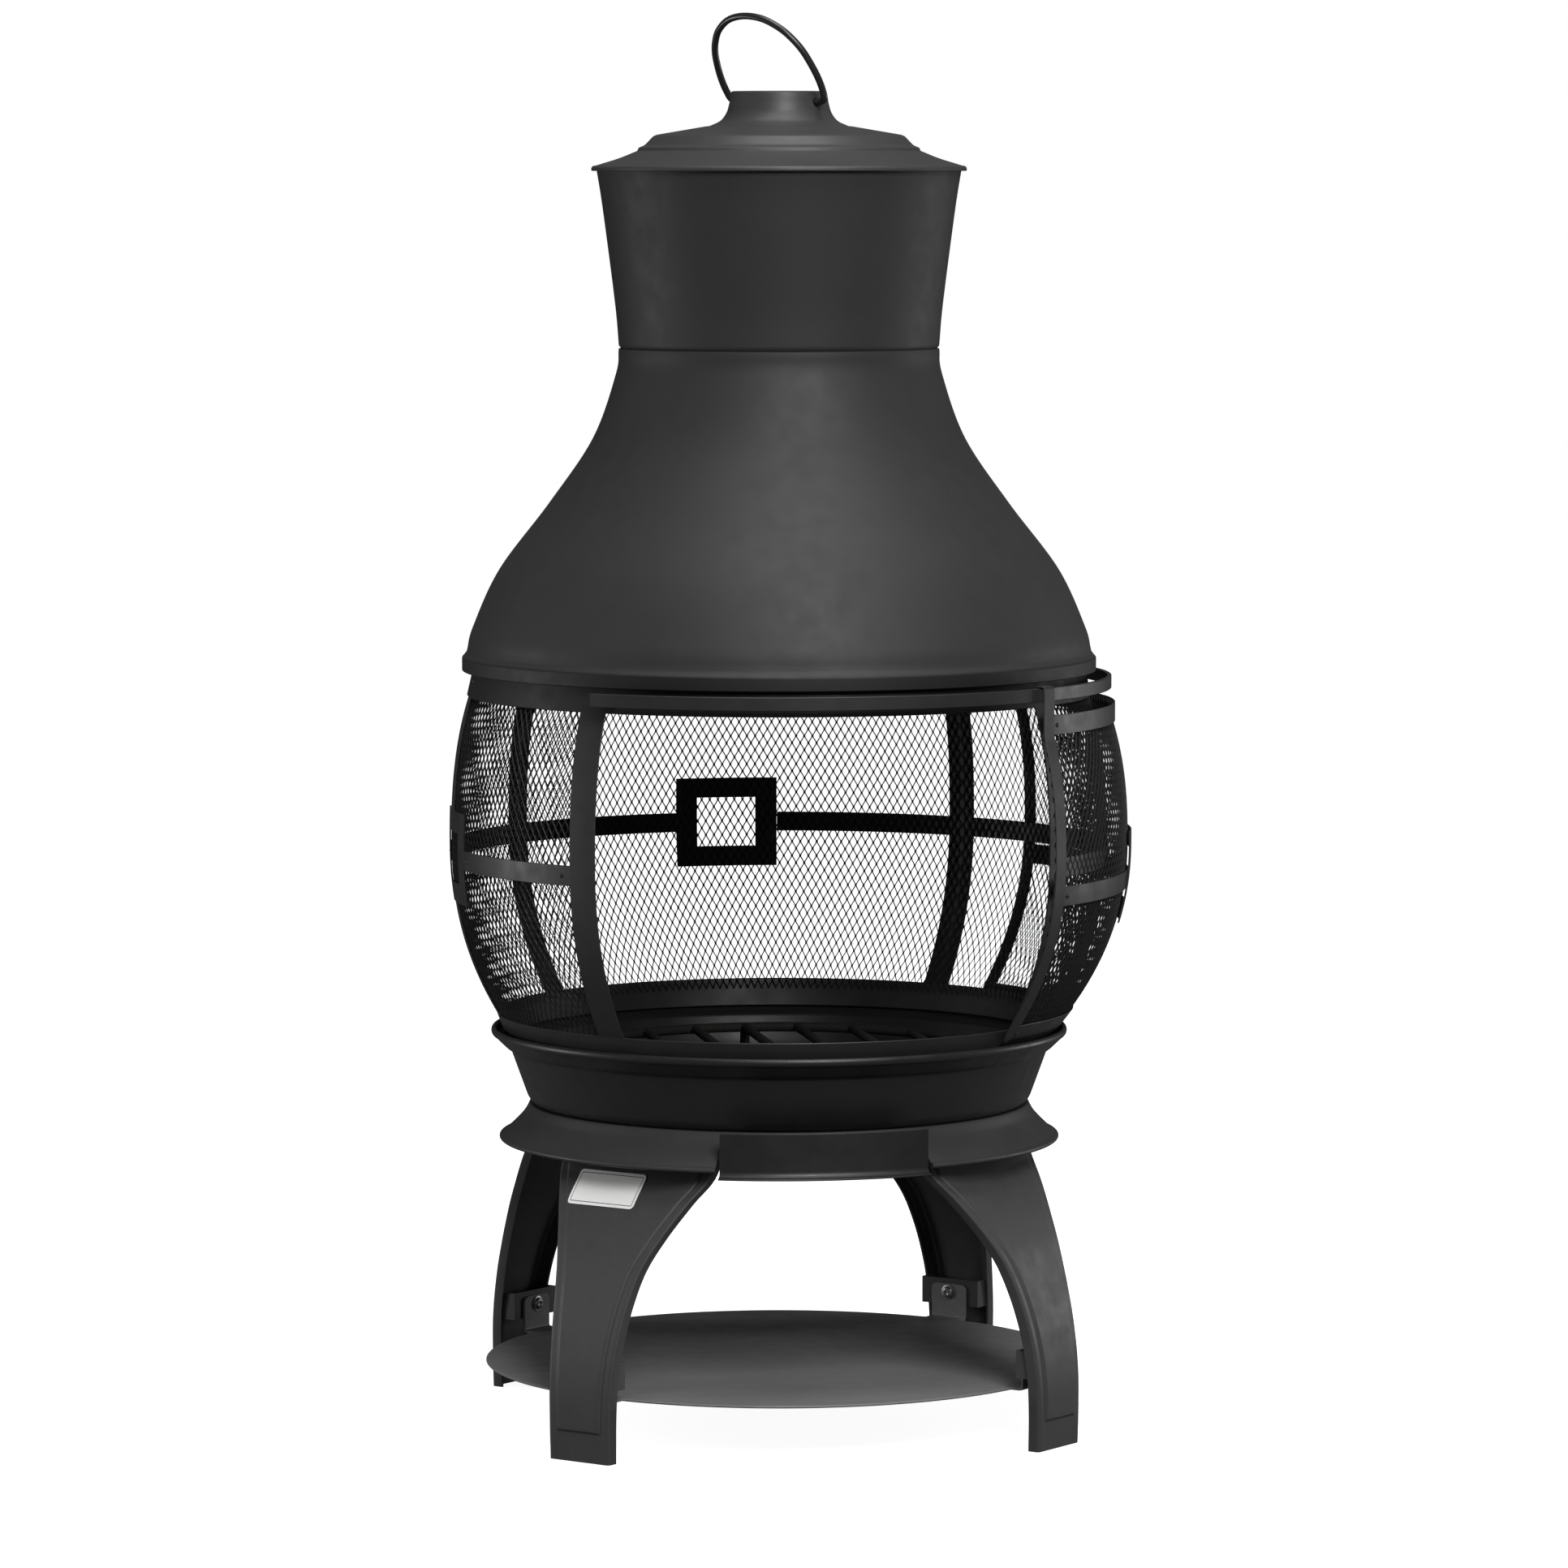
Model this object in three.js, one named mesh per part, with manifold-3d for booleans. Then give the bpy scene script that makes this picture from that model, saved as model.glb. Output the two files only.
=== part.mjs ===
// A garden chiminea in painted sheet steel: a barrel of expanded-metal screens with a sliding door
// stands in a fire bowl on four pressed legs, under a flared hood, a chimney and a lift-off lid.
// Millimetres, +Z up. The origin is on the ground under the axis, and the open front faces -Y.
// Angles run round the axis in degrees: 0 is the front, 90 is the +X side, -90 the -X side.
import * as THREE from "three";
import { mergeVertices } from "three/addons/utils/BufferGeometryUtils.js";
import Module from "manifold-3d";

const wasm = await Module();
wasm.setup();

// ---------- driving dimensions ----------
const SEGMENTS = 48; // flats round every turned piece
const GAP = 0.3; // between pieces that touch
const SHEET = 1.2; // thin sheet: screens, straps, hood, chimney, lid
const PLATE = 1.5; // thicker sheet: bowl and stand

const LEG_SHEET = 2;
const LEG_ANGLES = { front_left: -45, front_right: 45, rear_right: 135, rear_left: -135 };
const LEG_FOLD = 10; // depth of the folded sides
const LEG_LINE = [ // height, outer face
  [0, 271], [30, 271.5], [60, 270.5], [90, 266], [120, 258], [150, 246.5], [175, 232], [200, 214.5], [222, 197],
];
const LEG_EDGE = [ // height, half width
  [0, 29], [40, 29.6], [75, 31], [100, 33], [125, 36], [150, 41], [175, 50.5], [200, 62.5], [222, 73],
];
const LEG_TOP_FACE = 184; // outer face where the leg meets the stand ring

const SHELF = { radius: 237.5, sheet: 2, height: 47, tabWidth: 34, tabRise: 30, tabReach: 248 };
const STRAP_HEIGHT = 22;
const SCREW = { shank: 2.5, head: 4.6, headDepth: 2.4 };

const STAND = { rim: 226, skirtDrop: 28.6, skirt: 222, neck: 202, height: 256.6, flange: 185 };
const DATUM = 256.6; // height of the stand's top in the heights given from BOWL to BAIL below
const BOWL = { rim: 232.5, rimHeight: 318.2, mouth: 227.2, floor: 199, ashHole: 8, ashRing: 62 };
const BOWL_BOLT = { ring: 192.5, shank: 3, head: 5.5, headDepth: 3.5 };
const DRAWER = { front: 224, drop: 33, rise: 2, halfAngle: 21.7, tray: 64, back: 60, trayDrop: 29.9, trayRim: 6.6 };

const GRATE = { radius: 172, bar: 8, height: 300, bars: 7, feet: 4 };

const BARREL_HEIGHTS = [300, 320, 345, 375, 410, 450, 490, 530, 565, 586, 610]; // of its flats
const DRUM = { equator: 470, radius: 265.5, up: [14.5, 116, 2.54], down: [36.5, 138, 2.24] };
const DOOR_STANDOFF = 18.5; // of the door's widest circle from the drum's
const DOOR = { equator: 470, radius: DRUM.radius + DOOR_STANDOFF, up: [13, 98, 2.4], down: [46, 138, 2.2], shoulder: 565 };
const TOP_RING = { foot: 586, top: 614, cone: 6 };
const BOTTOM_RING = { foot: 308, top: 330, cone: 8 };
const RIBS = {
  rib_front_left: [-45, 24.5],
  rib_front_right: [45, 14],
  rib_rear_right: [135, 24.5],
  rib_rear_left: [-135, 24.5],
};
const SIDE_STRIP = 14;
const BAND = { middle: 459, height: 16 };
const HANDLE = { halfAngle: 9.3, height: 74, windowAngle: 5.4, windowHeight: 41 };

const DOOR_CENTRE = 82; // where the open door stands
const DOOR_HALF = 40.65; // from its middle to the middle of each upright
const DOOR_UPRIGHT = 13;
const DOOR_BANDS = { top: [565.3, 581], middle: [431, 447], bottom: [320, 334] };
const DOOR_HANDLE_HEIGHT = 441;
const RAIL = { standoff: 16.4, bar: 3.4, foot: 592, top: 602.4, from: -43, to: 136 };
const RAIL_BRACKETS = [-41, 46, 133];
const HOOK = { throat: 0.7, lip: 7 };

const HOOD_LINE = [[251, 622], [246, 641], [224.6, 687], [184.6, 740], [149.4, 792], [131, 843]];
const HOOD = { skirt: 255, skirtFoot: 606, skirtTop: 617.5, neck: 128.6, top: 863.7 };
const CHIMNEY_LINE = [[128.5, 866], [131.5, 900], [141, 974], [146.3, 1008.4]];
const CHIMNEY_TUCK = { radius: 126.8, foot: 842 };
const LID_LINE = [
  [150.3, 1003.6], [150.3, 1009], [129, 1016.8], [113, 1021.6], [106, 1025], [100, 1033],
  [50, 1042], [42, 1050], [39, 1061], [38, 1069], [0, 1069],
];
const BAIL = { wire: 5.5, pivotHeight: 1060, angle: 38, lean: 31, clearance: 0.6 };
// Half of the bail in its own plane: out along the pivot line, and up.
const BAIL_LINE = [[33, 0], [45, 0], [54, 4], [56, 13], [51, 26], [46, 40], [41, 56], [27, 71], [0, 78.5]];
const LABEL = { height: 207, side: -17, width: 64, tall: 25, sheet: 0.6 };

// ---------- materials ----------
const PAINT = { roughness: 0.55, metalness: 0.3 };
const paint = (color) => () => new THREE.MeshStandardMaterial({ color, ...PAINT });
const hoodPaint = paint(0x2b2b2c);
const drumPaint = paint(0x26262a);
const screenPaint = paint(0x171718);
const bowlPaint = paint(0x1c1c1d);
const legPaint = paint(0x333335);
const zinc = () => new THREE.MeshStandardMaterial({ color: 0x77787a, roughness: 0.4, metalness: 0.9 });
const labelFilm = () => new THREE.MeshStandardMaterial({ color: 0xd9d8d2, roughness: 0.6 });

// ---------- solids ----------
const chiminea = new THREE.Group();

// A closed three.js geometry as a manifold solid.
function asSolid(geometry) {
  const bare = geometry.clone();
  bare.deleteAttribute("normal");
  bare.deleteAttribute("uv");
  const merged = mergeVertices(bare, 1e-4);
  const { array: vertProperties } = merged.attributes.position;
  const triVerts = new Uint32Array(merged.index.array);
  return new wasm.Manifold(new wasm.Mesh({ numProp: 3, vertProperties, triVerts }));
}

function asGeometry(solid) {
  const made = solid.getMesh();
  return new THREE.BufferGeometry()
    .setAttribute("position", new THREE.BufferAttribute(made.vertProperties, 3))
    .setIndex(new THREE.BufferAttribute(made.triVerts, 1));
}

function add(name, solid, material) {
  const mesh = new THREE.Mesh(asGeometry(solid), material());
  mesh.name = name;
  chiminea.add(mesh);
}

// Adds a piece that stands on the stand, drawn with the stand's top at the datum.
function addAbove(name, solid, material) {
  add(name, solid.translate([0, 0, STAND.height - DATUM]), material);
}

const radians = THREE.MathUtils.degToRad;
const vectors = (points) => points.map(([x, y]) => new THREE.Vector2(x, y));
const degreesFor = (length, radius) => THREE.MathUtils.radToDeg(length / radius);

// A solid of revolution from a loop of [radius, height] points that runs up its outside.
function turned(points) {
  const lathe = new THREE.LatheGeometry(vectors(points), SEGMENTS);
  return asSolid(lathe.rotateX(Math.PI / 2));
}

// The loop of a sheet: its outer line from the bottom up, and the same line moved in by the wall.
function sheetLoop(outer, wall) {
  const inner = outer.map(([r, z], i) => {
    const [r0, z0] = outer[Math.max(i - 1, 0)];
    const [r1, z1] = outer[Math.min(i + 1, outer.length - 1)];
    const length = Math.hypot(r1 - r0, z1 - z0);
    return [r - (wall * (z1 - z0)) / length, z + (wall * (r1 - r0)) / length];
  });
  inner.reverse();
  if (outer.at(-1)[0] === 0) return [...inner, ...outer];
  if (outer[0][0] === 0) return [...outer, ...inner];
  return [...outer, ...inner, outer[0]];
}

function smoothLine(points, steps) {
  return new THREE.SplineCurve(vectors(points)).getPoints(steps).map((p) => [p.x, p.y]);
}

function extruded(points, depth) {
  return new THREE.ExtrudeGeometry(new THREE.Shape(vectors(points)), { depth, bevelEnabled: false });
}

function box(width, depth, height, x, y, z) {
  return asSolid(new THREE.BoxGeometry(width, depth, height).translate(x, y, z));
}

function rod(radius, length, sides = 8) {
  return asSolid(new THREE.CylinderGeometry(radius, radius, length, sides).rotateX(Math.PI / 2));
}

// Moves a solid that was made at the front, facing -Y, round the axis.
const around = (solid, angle) => solid.rotate([0, 0, angle]);

const REACH = 400; // past every piece, for cutting wedges and slabs
const TALL = 1200;

// The part of a turned solid between two angles.
function sector(solid, from, to) {
  const corner = (angle) => [REACH * Math.sin(radians(angle)), -REACH * Math.cos(radians(angle))];
  const wedge = extruded([[0, 0], corner(from), corner((from + to) / 2), corner(to)], TALL);
  return solid.intersect(asSolid(wedge));
}

// The part of a turned solid in a straight strip of one width, at one angle.
function strip(solid, angle, width) {
  return solid.intersect(around(box(width, REACH, TALL, 0, -REACH / 2, TALL / 2), angle));
}

// ---------- the barrel's two curves ----------
// The outer radius at a height: a power curve above and below the widest place.
function bulge({ equator, radius, up, down, shoulder = Infinity }, height) {
  const z = Math.min(height, shoulder);
  const [drop, span, power] = z > equator ? up : down;
  return radius - drop * (Math.abs(z - equator) / span) ** power;
}

// The same curve as flats between the barrel's heights, so that layered sheets stay parallel.
function faceOf(barrel) {
  return (z) => {
    const i = Math.max(1, BARREL_HEIGHTS.findIndex((h) => h >= z));
    const [below, above] = [BARREL_HEIGHTS[i - 1], BARREL_HEIGHTS[i]];
    const share = (z - below) / (above - below);
    return bulge(barrel, below) * (1 - share) + bulge(barrel, above) * share;
  };
}
const drumFace = faceOf(DRUM);
const doorFace = faceOf(DOOR);

// The outer line of a barrel sheet from its foot to its top, moved out by offset.
function barrelLine(face, foot, top, offset) {
  const between = BARREL_HEIGHTS.filter((z) => z > foot && z < top);
  return [foot, ...between, top].map((z) => [face(z) + offset, z]);
}

// A sheet on one of the two curves. Its wall is measured straight in towards the axis.
function barrelSheet(face, foot, top, offset) {
  const outer = barrelLine(face, foot, top, offset);
  const inner = barrelLine(face, foot, top, offset - SHEET).reverse();
  return turned([...outer, ...inner, outer[0]]);
}

const LAYER = SHEET + GAP; // from one sheet's face to the next sheet's

// ---------- stand: legs, shelf, stand ring ----------
const legTop = STAND.height - PLATE - GAP;
const legLine = smoothLine([...LEG_LINE, [legTop, LEG_TOP_FACE]], 14);
const legHalfWidth = [...LEG_EDGE, [legTop, LEG_EDGE.at(-1)[1]]];

// A slice of the leg's curved block, from one depth behind its outer face to another.
function legSlice(from, to, inset) {
  const face = legLine.map(([z, r]) => [-(r - from), z]);
  const back = legLine.map(([z, r]) => [-(r - to), z]).reverse();
  const side = extruded([...face, ...back], 2 * REACH).translate(0, 0, -REACH);
  side.rotateX(Math.PI / 2).rotateZ(Math.PI / 2);
  const right = legHalfWidth.map(([z, w]) => [w - inset, z]);
  const left = right.map(([w, z]) => [-w, z]).reverse();
  const outline = extruded([...right, ...left], REACH).rotateX(Math.PI / 2);
  return asSolid(side).intersect(asSolid(outline));
}

// A value at a height on a line of [height, value] points.
function valueAt(line, z) {
  const i = line.findIndex(([height]) => height >= z);
  const [[z0, v0], [z1, v1]] = [line[i - 1], line[i]];
  return v0 + ((v1 - v0) * (z - z0)) / (z1 - z0);
}
const legEdgeAt = (z) => valueAt(LEG_EDGE, z); // the leg's half width
const legFaceAt = (z) => valueAt(legLine, z);

const legHollow = legSlice(LEG_SHEET, 2 * LEG_FOLD, LEG_SHEET);
const leg = legSlice(0, LEG_FOLD, 0).subtract(legHollow);

const tabFace = SHELF.tabReach; // outer face of the shelf's upright tabs
const strapFace = tabFace + GAP + LEG_SHEET;
const strapFoot = SHELF.height + SHELF.tabRise / 3;
const screwHeight = strapFoot + STRAP_HEIGHT / 2;
const strapHalf = legEdgeAt(strapFoot) - LEG_SHEET - GAP; // between the folded sides

function screwHole(solid) {
  const drill = rod(SCREW.shank + GAP, 40).rotate([90, 0, 0]);
  return solid.subtract(drill.translate([0, -tabFace, screwHeight]));
}

const earEnd = legFaceAt(strapFoot + STRAP_HEIGHT) - LEG_SHEET - 2 * GAP; // its ears reach in between the folds
const earLength = earEnd - strapFace + LEG_SHEET;
const strapBar = box(2 * strapHalf, earLength, STRAP_HEIGHT, 0, -(earEnd - earLength / 2), screwHeight);
const strapInside = box(
  2 * (strapHalf - LEG_SHEET), earLength, STRAP_HEIGHT + 1,
  0, -(earEnd + LEG_SHEET - earLength / 2), screwHeight,
);
const strap = screwHole(strapBar.subtract(strapInside));

const screwHead = rod(SCREW.head, SCREW.headDepth, 12)
  .rotate([90, 0, 0])
  .translate([0, -(tabFace - SHELF.sheet - GAP - SCREW.headDepth / 2), screwHeight]);
const shankLength = SHELF.sheet + LEG_SHEET + 4;
const screwShank = rod(SCREW.shank, shankLength)
  .rotate([90, 0, 0])
  .translate([0, -(tabFace - SHELF.sheet - GAP + shankLength / 2 - 0.5), screwHeight]);
const shelfScrew = screwHead.add(screwShank);

let shelf = turned([
  [0, SHELF.height - SHELF.sheet],
  [SHELF.radius, SHELF.height - SHELF.sheet],
  [SHELF.radius, SHELF.height],
  [0, SHELF.height],
]);
const tabFootLength = tabFace - SHELF.radius + 10;
const tabFoot = box(
  SHELF.tabWidth, tabFootLength, SHELF.sheet,
  0, -(tabFace - tabFootLength / 2), SHELF.height - SHELF.sheet / 2,
);
const tabUpright = box(
  SHELF.tabWidth, SHELF.sheet, SHELF.tabRise,
  0, -(tabFace - SHELF.sheet / 2), SHELF.height - SHELF.sheet + SHELF.tabRise / 2,
);
const tab = screwHole(tabFoot.add(tabUpright));

const bowlBoltSeat = STAND.height + GAP + PLATE; // upper face of the bowl's floor
const boltLength = 2 * PLATE + GAP + 7;
const bowlBolt = rod(BOWL_BOLT.head, BOWL_BOLT.headDepth, 6)
  .translate([0, 0, bowlBoltSeat + GAP + BOWL_BOLT.headDepth / 2])
  .add(rod(BOWL_BOLT.shank, boltLength).translate([0, 0, bowlBoltSeat + GAP - boltLength / 2 + 0.5]))
  .add(rod(BOWL_BOLT.head, 4, 6).translate([0, 0, STAND.height - PLATE - GAP - 2]))
  .translate([0, -BOWL_BOLT.ring, 0]);
const boltDrill = rod(BOWL_BOLT.shank + GAP, 30).translate([0, -BOWL_BOLT.ring, 0]);

let standRing = turned(sheetLoop([
  [STAND.rim, STAND.height - STAND.skirtDrop - 1],
  [STAND.rim, STAND.height - STAND.skirtDrop + 2],
  [STAND.skirt, STAND.height - STAND.skirtDrop + 3.5],
  [STAND.neck, STAND.height],
  [STAND.flange, STAND.height],
], PLATE));

const bowlFoot = DATUM + GAP;
let fireBowl = turned([
  [0, bowlFoot],
  [BOWL.floor, bowlFoot],
  [BOWL.floor + 2.5, bowlFoot + 1.5],
  [216, 300],
  [229.5, 311.2],
  [BOWL.rim - 0.4, 312.6],
  [BOWL.rim, 315.4],
  [BOWL.rim - 1.2, 317.6],
  [BOWL.rim - 3, BOWL.rimHeight],
  [BOWL.mouth + 0.6, 317.2],
  [BOWL.mouth, 313.6],
  [216, 302.2],
  [BOWL.floor + 1, bowlFoot + PLATE + 0.6],
  [BOWL.floor - 1, bowlFoot + PLATE],
  [0, bowlFoot + PLATE],
]);
const ashHole = rod(BOWL.ashHole, 20).translate([0, 0, bowlFoot]);
fireBowl = fireBowl.subtract(ashHole);
for (let turn = 0; turn < 360; turn += 60)
  fireBowl = fireBowl.subtract(around(ashHole.translate([0, -BOWL.ashRing, 0]), turn));

for (const [place, angle] of Object.entries(LEG_ANGLES)) {
  add(`leg_${place}`, around(leg, angle), legPaint);
  add(`shelf_strap_${place}`, around(strap, angle), legPaint);
  add(`shelf_screw_${place}`, around(shelfScrew, angle), zinc);
  add(`bowl_bolt_${place}`, around(bowlBolt, angle), zinc);
  shelf = shelf.add(around(tab, angle));
  standRing = standRing.subtract(around(boltDrill.translate([0, 0, STAND.height]), angle));
  fireBowl = fireBowl.subtract(around(boltDrill.translate([0, 0, DATUM]), angle));
}
add("shelf", shelf, legPaint);
addAbove("fire_bowl", fireBowl, bowlPaint);

const labelBlock = box(LABEL.width, REACH, LABEL.tall, LABEL.side, -REACH / 2, LABEL.height);
const label = legSlice(-GAP - LABEL.sheet, -GAP, 0).intersect(labelBlock);
add("label_plate", around(label, LEG_ANGLES.front_left), labelFilm);

// ---------- ash drawer ----------
const slotTop = STAND.height - 2 * PLATE;
const drawerBottom = STAND.height - DRAWER.drop;
const drawerSlot = sector(
  turned([[150, 0], [REACH, 0], [REACH, slotTop], [150, slotTop], [150, 0]]),
  -DRAWER.halfAngle - 0.9, DRAWER.halfAngle + 0.9,
);
add("stand_ring", standRing.subtract(drawerSlot), bowlPaint);

const drawerFront = sector(turned(sheetLoop([
  [DRAWER.front + 5, drawerBottom],
  [DRAWER.front + 1, drawerBottom + 1],
  [DRAWER.front, drawerBottom + 4],
  [DRAWER.front, STAND.height + DRAWER.rise],
], PLATE)), -DRAWER.halfAngle, DRAWER.halfAngle);
add("ash_drawer_front", drawerFront, bowlPaint);

const trayFoot = STAND.height - DRAWER.trayDrop;
const trayTop = STAND.height - DRAWER.trayRim;
const plug = (radius) => turned([[0, 0], [radius, 0], [radius, TALL], [0, TALL]]);
const trayBlock = (inset, floor, top) => box(
  2 * (DRAWER.tray - inset), REACH + DRAWER.back - inset, top - floor,
  0, (DRAWER.back - inset - REACH) / 2, (top + floor) / 2,
).intersect(plug(DRAWER.front - PLATE - GAP - inset));
add("ash_drawer_tray",
  trayBlock(0, trayFoot, trayTop).subtract(trayBlock(SHEET, trayFoot + SHEET, trayTop + 10)), bowlPaint);

const runnerHang = DRAWER.tray + 0.8;
const runnerFoot = trayFoot - GAP - PLATE;
const runnerRise = STAND.height - runnerFoot;
const runner = box(PLATE, 220, runnerRise, runnerHang + PLATE / 2, -58, runnerFoot + runnerRise / 2)
  .add(box(9, 220, PLATE, runnerHang + PLATE - 4.5, -58, runnerFoot + PLATE / 2));
add("drawer_runner_right", runner, bowlPaint);
add("drawer_runner_left", runner.mirror([1, 0, 0]), bowlPaint);

// ---------- log grate ----------
const halfBar = GRATE.bar / 2;
let grate = turned([
  [GRATE.radius - GRATE.bar, GRATE.height - GRATE.bar],
  [GRATE.radius, GRATE.height - GRATE.bar],
  [GRATE.radius, GRATE.height],
  [GRATE.radius - GRATE.bar, GRATE.height],
  [GRATE.radius - GRATE.bar, GRATE.height - GRATE.bar],
]);
const barPitch = (2 * GRATE.radius) / (GRATE.bars + 1);
for (let i = 0; i < GRATE.bars; i++) {
  const x = (i - (GRATE.bars - 1) / 2) * barPitch;
  const length = 2 * Math.sqrt((GRATE.radius - halfBar) ** 2 - x ** 2);
  grate = grate.add(rod(halfBar - 0.3, length, 6).rotate([90, 0, 0])
    .translate([x, 0, GRATE.height - halfBar]));
}
const grateSeat = bowlFoot + PLATE + GAP;
const footLength = GRATE.height - halfBar - grateSeat;
for (let i = 0; i < GRATE.feet; i++) {
  const foot = rod(halfBar, footLength)
    .translate([0, -(GRATE.radius - halfBar), grateSeat + footLength / 2]);
  grate = grate.add(around(foot, (i * 360) / GRATE.feet));
}
addAbove("log_grate", grate, screenPaint);

// ---------- drum: rings, ribs, strips, bands, screens ----------
// Both rings meet the drum's face at one edge and draw in by their cone at the other.
const topRingRadius = drumFace(TOP_RING.foot);
const bottomRingRadius = drumFace(BOTTOM_RING.top);
const ringSheet = (foot, footRadius, top, topRadius) => turned([
  [footRadius, foot], [topRadius, top], [topRadius - SHEET, top], [footRadius - SHEET, foot],
  [footRadius, foot],
]);
addAbove("drum_top_ring",
  ringSheet(TOP_RING.foot, topRingRadius, TOP_RING.top, topRingRadius - TOP_RING.cone), drumPaint);
addAbove("drum_bottom_ring", ringSheet(
  BOTTOM_RING.foot, bottomRingRadius - BOTTOM_RING.cone, BOTTOM_RING.top, bottomRingRadius,
), drumPaint);

const ribFoot = BOTTOM_RING.top + GAP;
const ribTop = TOP_RING.foot - GAP;
const drumWall = barrelSheet(drumFace, ribFoot, ribTop, 0);
for (const [name, [angle, width]] of Object.entries(RIBS))
  addAbove(name, strip(drumWall, angle, width), drumPaint);

// The side strips stop above and below what crosses them: a handle plate, or the band.
const sideStrips = { left: [-90, HANDLE.height / 2 + GAP], right: [90, BAND.height / 2 + GAP] };
for (const [side, [angle, reach]] of Object.entries(sideStrips)) {
  const lower = barrelSheet(drumFace, ribFoot, BAND.middle - reach, 0);
  const upper = barrelSheet(drumFace, BAND.middle + reach, ribTop, 0);
  addAbove(`side_strip_${side}_lower`, strip(lower, angle, SIDE_STRIP), drumPaint);
  addAbove(`side_strip_${side}_upper`, strip(upper, angle, SIDE_STRIP), drumPaint);
}

// A plate with a window, pressed to the curve it lies on.
function handlePlate(face, middle, angle) {
  const from = middle - HANDLE.height / 2;
  const plate = barrelSheet(face, from, from + HANDLE.height, 0);
  const hole = turned([
    [150, middle - HANDLE.windowHeight / 2],
    [REACH, middle - HANDLE.windowHeight / 2],
    [REACH, middle + HANDLE.windowHeight / 2],
    [150, middle + HANDLE.windowHeight / 2],
    [150, middle - HANDLE.windowHeight / 2],
  ]);
  return sector(plate, angle - HANDLE.halfAngle, angle + HANDLE.halfAngle)
    .subtract(sector(hole, angle - HANDLE.windowAngle, angle + HANDLE.windowAngle));
}
addAbove("handle_plate_left", handlePlate(drumFace, BAND.middle, -90), drumPaint);
addAbove("handle_plate_rear", handlePlate(drumFace, BAND.middle, 180), drumPaint);

const bandHoop = barrelSheet(
  drumFace, BAND.middle - BAND.height / 2, BAND.middle + BAND.height / 2, 0,
);
const bandRadius = drumFace(BAND.middle) - SHEET;
const pastRib = (name) => degreesFor(RIBS[name][1] / 2 + GAP, bandRadius);
const pastPlate = HANDLE.halfAngle + degreesFor(GAP, bandRadius);
const bands = {
  band_left_front: [-90 + pastPlate, -45 - pastRib("rib_front_left")],
  band_left_rear: [-135 + pastRib("rib_rear_left"), -90 - pastPlate],
  band_rear_left: [180 + pastPlate, 225 - pastRib("rib_rear_left")],
  band_rear_right: [135 + pastRib("rib_rear_right"), 180 - pastPlate],
  band_right: [45 + pastRib("rib_front_right"), 135 - pastRib("rib_rear_right")],
};
for (const [name, [from, to]] of Object.entries(bands)) addAbove(name, sector(bandHoop, from, to), drumPaint);

const screenEdge = 0.3; // degrees from a rib's middle to the screen's edge
const screenWall = barrelSheet(drumFace, ribFoot - 8, ribTop + 6, -LAYER);
const screens = { screen_left: -90, screen_rear: 180, screen_right: 90 };
for (const [name, middle] of Object.entries(screens))
  addAbove(name, sector(screenWall, middle - 45 + screenEdge, middle + 45 - screenEdge), screenPaint);

// ---------- rail and door ----------
const railOuter = topRingRadius + RAIL.standoff;
const railInner = railOuter - RAIL.bar;
const railHoop = turned([
  [railInner, RAIL.foot],
  [railOuter, RAIL.foot],
  [railOuter, RAIL.top],
  [railInner, RAIL.top],
  [railInner, RAIL.foot],
]);
addAbove("door_rail", sector(railHoop, RAIL.from, 45).add(sector(railHoop, 44, RAIL.to)), drumPaint);

const ringSlope = TOP_RING.cone / (TOP_RING.top - TOP_RING.foot);
const bracketInner = topRingRadius - ringSlope * (RAIL.foot - TOP_RING.foot) + GAP;
const bracketLoop = [
  [bracketInner, RAIL.foot],
  [railInner - 2 * GAP, RAIL.foot],
  [railInner - 2 * GAP, RAIL.foot + 4],
  [bracketInner, RAIL.foot + 4],
  [bracketInner, RAIL.foot],
];
RAIL_BRACKETS.forEach((angle, i) =>
  addAbove(`rail_bracket_${i + 1}`, strip(turned(bracketLoop), angle, 12), drumPaint));

const doorFoot = DOOR_BANDS.bottom[0];
const doorTop = DOOR_BANDS.top[1];
const hookFace = doorFace(DOOR.shoulder);
const hookTop = RAIL.top + HOOK.throat + SHEET;
const hookBack = railInner - HOOK.throat - SHEET - GAP;
const hookFoot = hookTop - HOOK.lip;
const uprightWall = turned([
  ...barrelLine(doorFace, doorFoot, DOOR.shoulder, 0),
  [hookFace, hookTop],
  [hookBack, hookTop],
  [hookBack, hookFoot],
  [hookBack + SHEET, hookFoot],
  [hookBack + SHEET, hookTop - SHEET],
  [hookFace - SHEET, hookTop - SHEET],
  ...barrelLine(doorFace, doorFoot, DOOR.shoulder, -SHEET).reverse(),
  [doorFace(doorFoot), doorFoot],
]);
const doorStart = DOOR_CENTRE - DOOR_HALF;
const doorEnd = DOOR_CENTRE + DOOR_HALF;
addAbove("door_upright_front", strip(uprightWall, doorStart, DOOR_UPRIGHT), drumPaint);
addAbove("door_upright_rear", strip(uprightWall, doorEnd, DOOR_UPRIGHT), drumPaint);

for (const [place, [foot, top]] of Object.entries(DOOR_BANDS)) {
  const hoop = barrelSheet(doorFace, foot, top, -LAYER);
  addAbove(`door_band_${place}`, sector(hoop, doorStart - 1, doorEnd + 1), drumPaint);
}
const doorWall = barrelSheet(doorFace, doorFoot + 1, doorTop - 1, -2 * LAYER);
addAbove("door_screen", sector(doorWall, doorStart - 0.8, doorEnd + 0.8), screenPaint);
addAbove("handle_plate_door", handlePlate(doorFace, DOOR_HANDLE_HEIGHT, DOOR_CENTRE), drumPaint);

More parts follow.
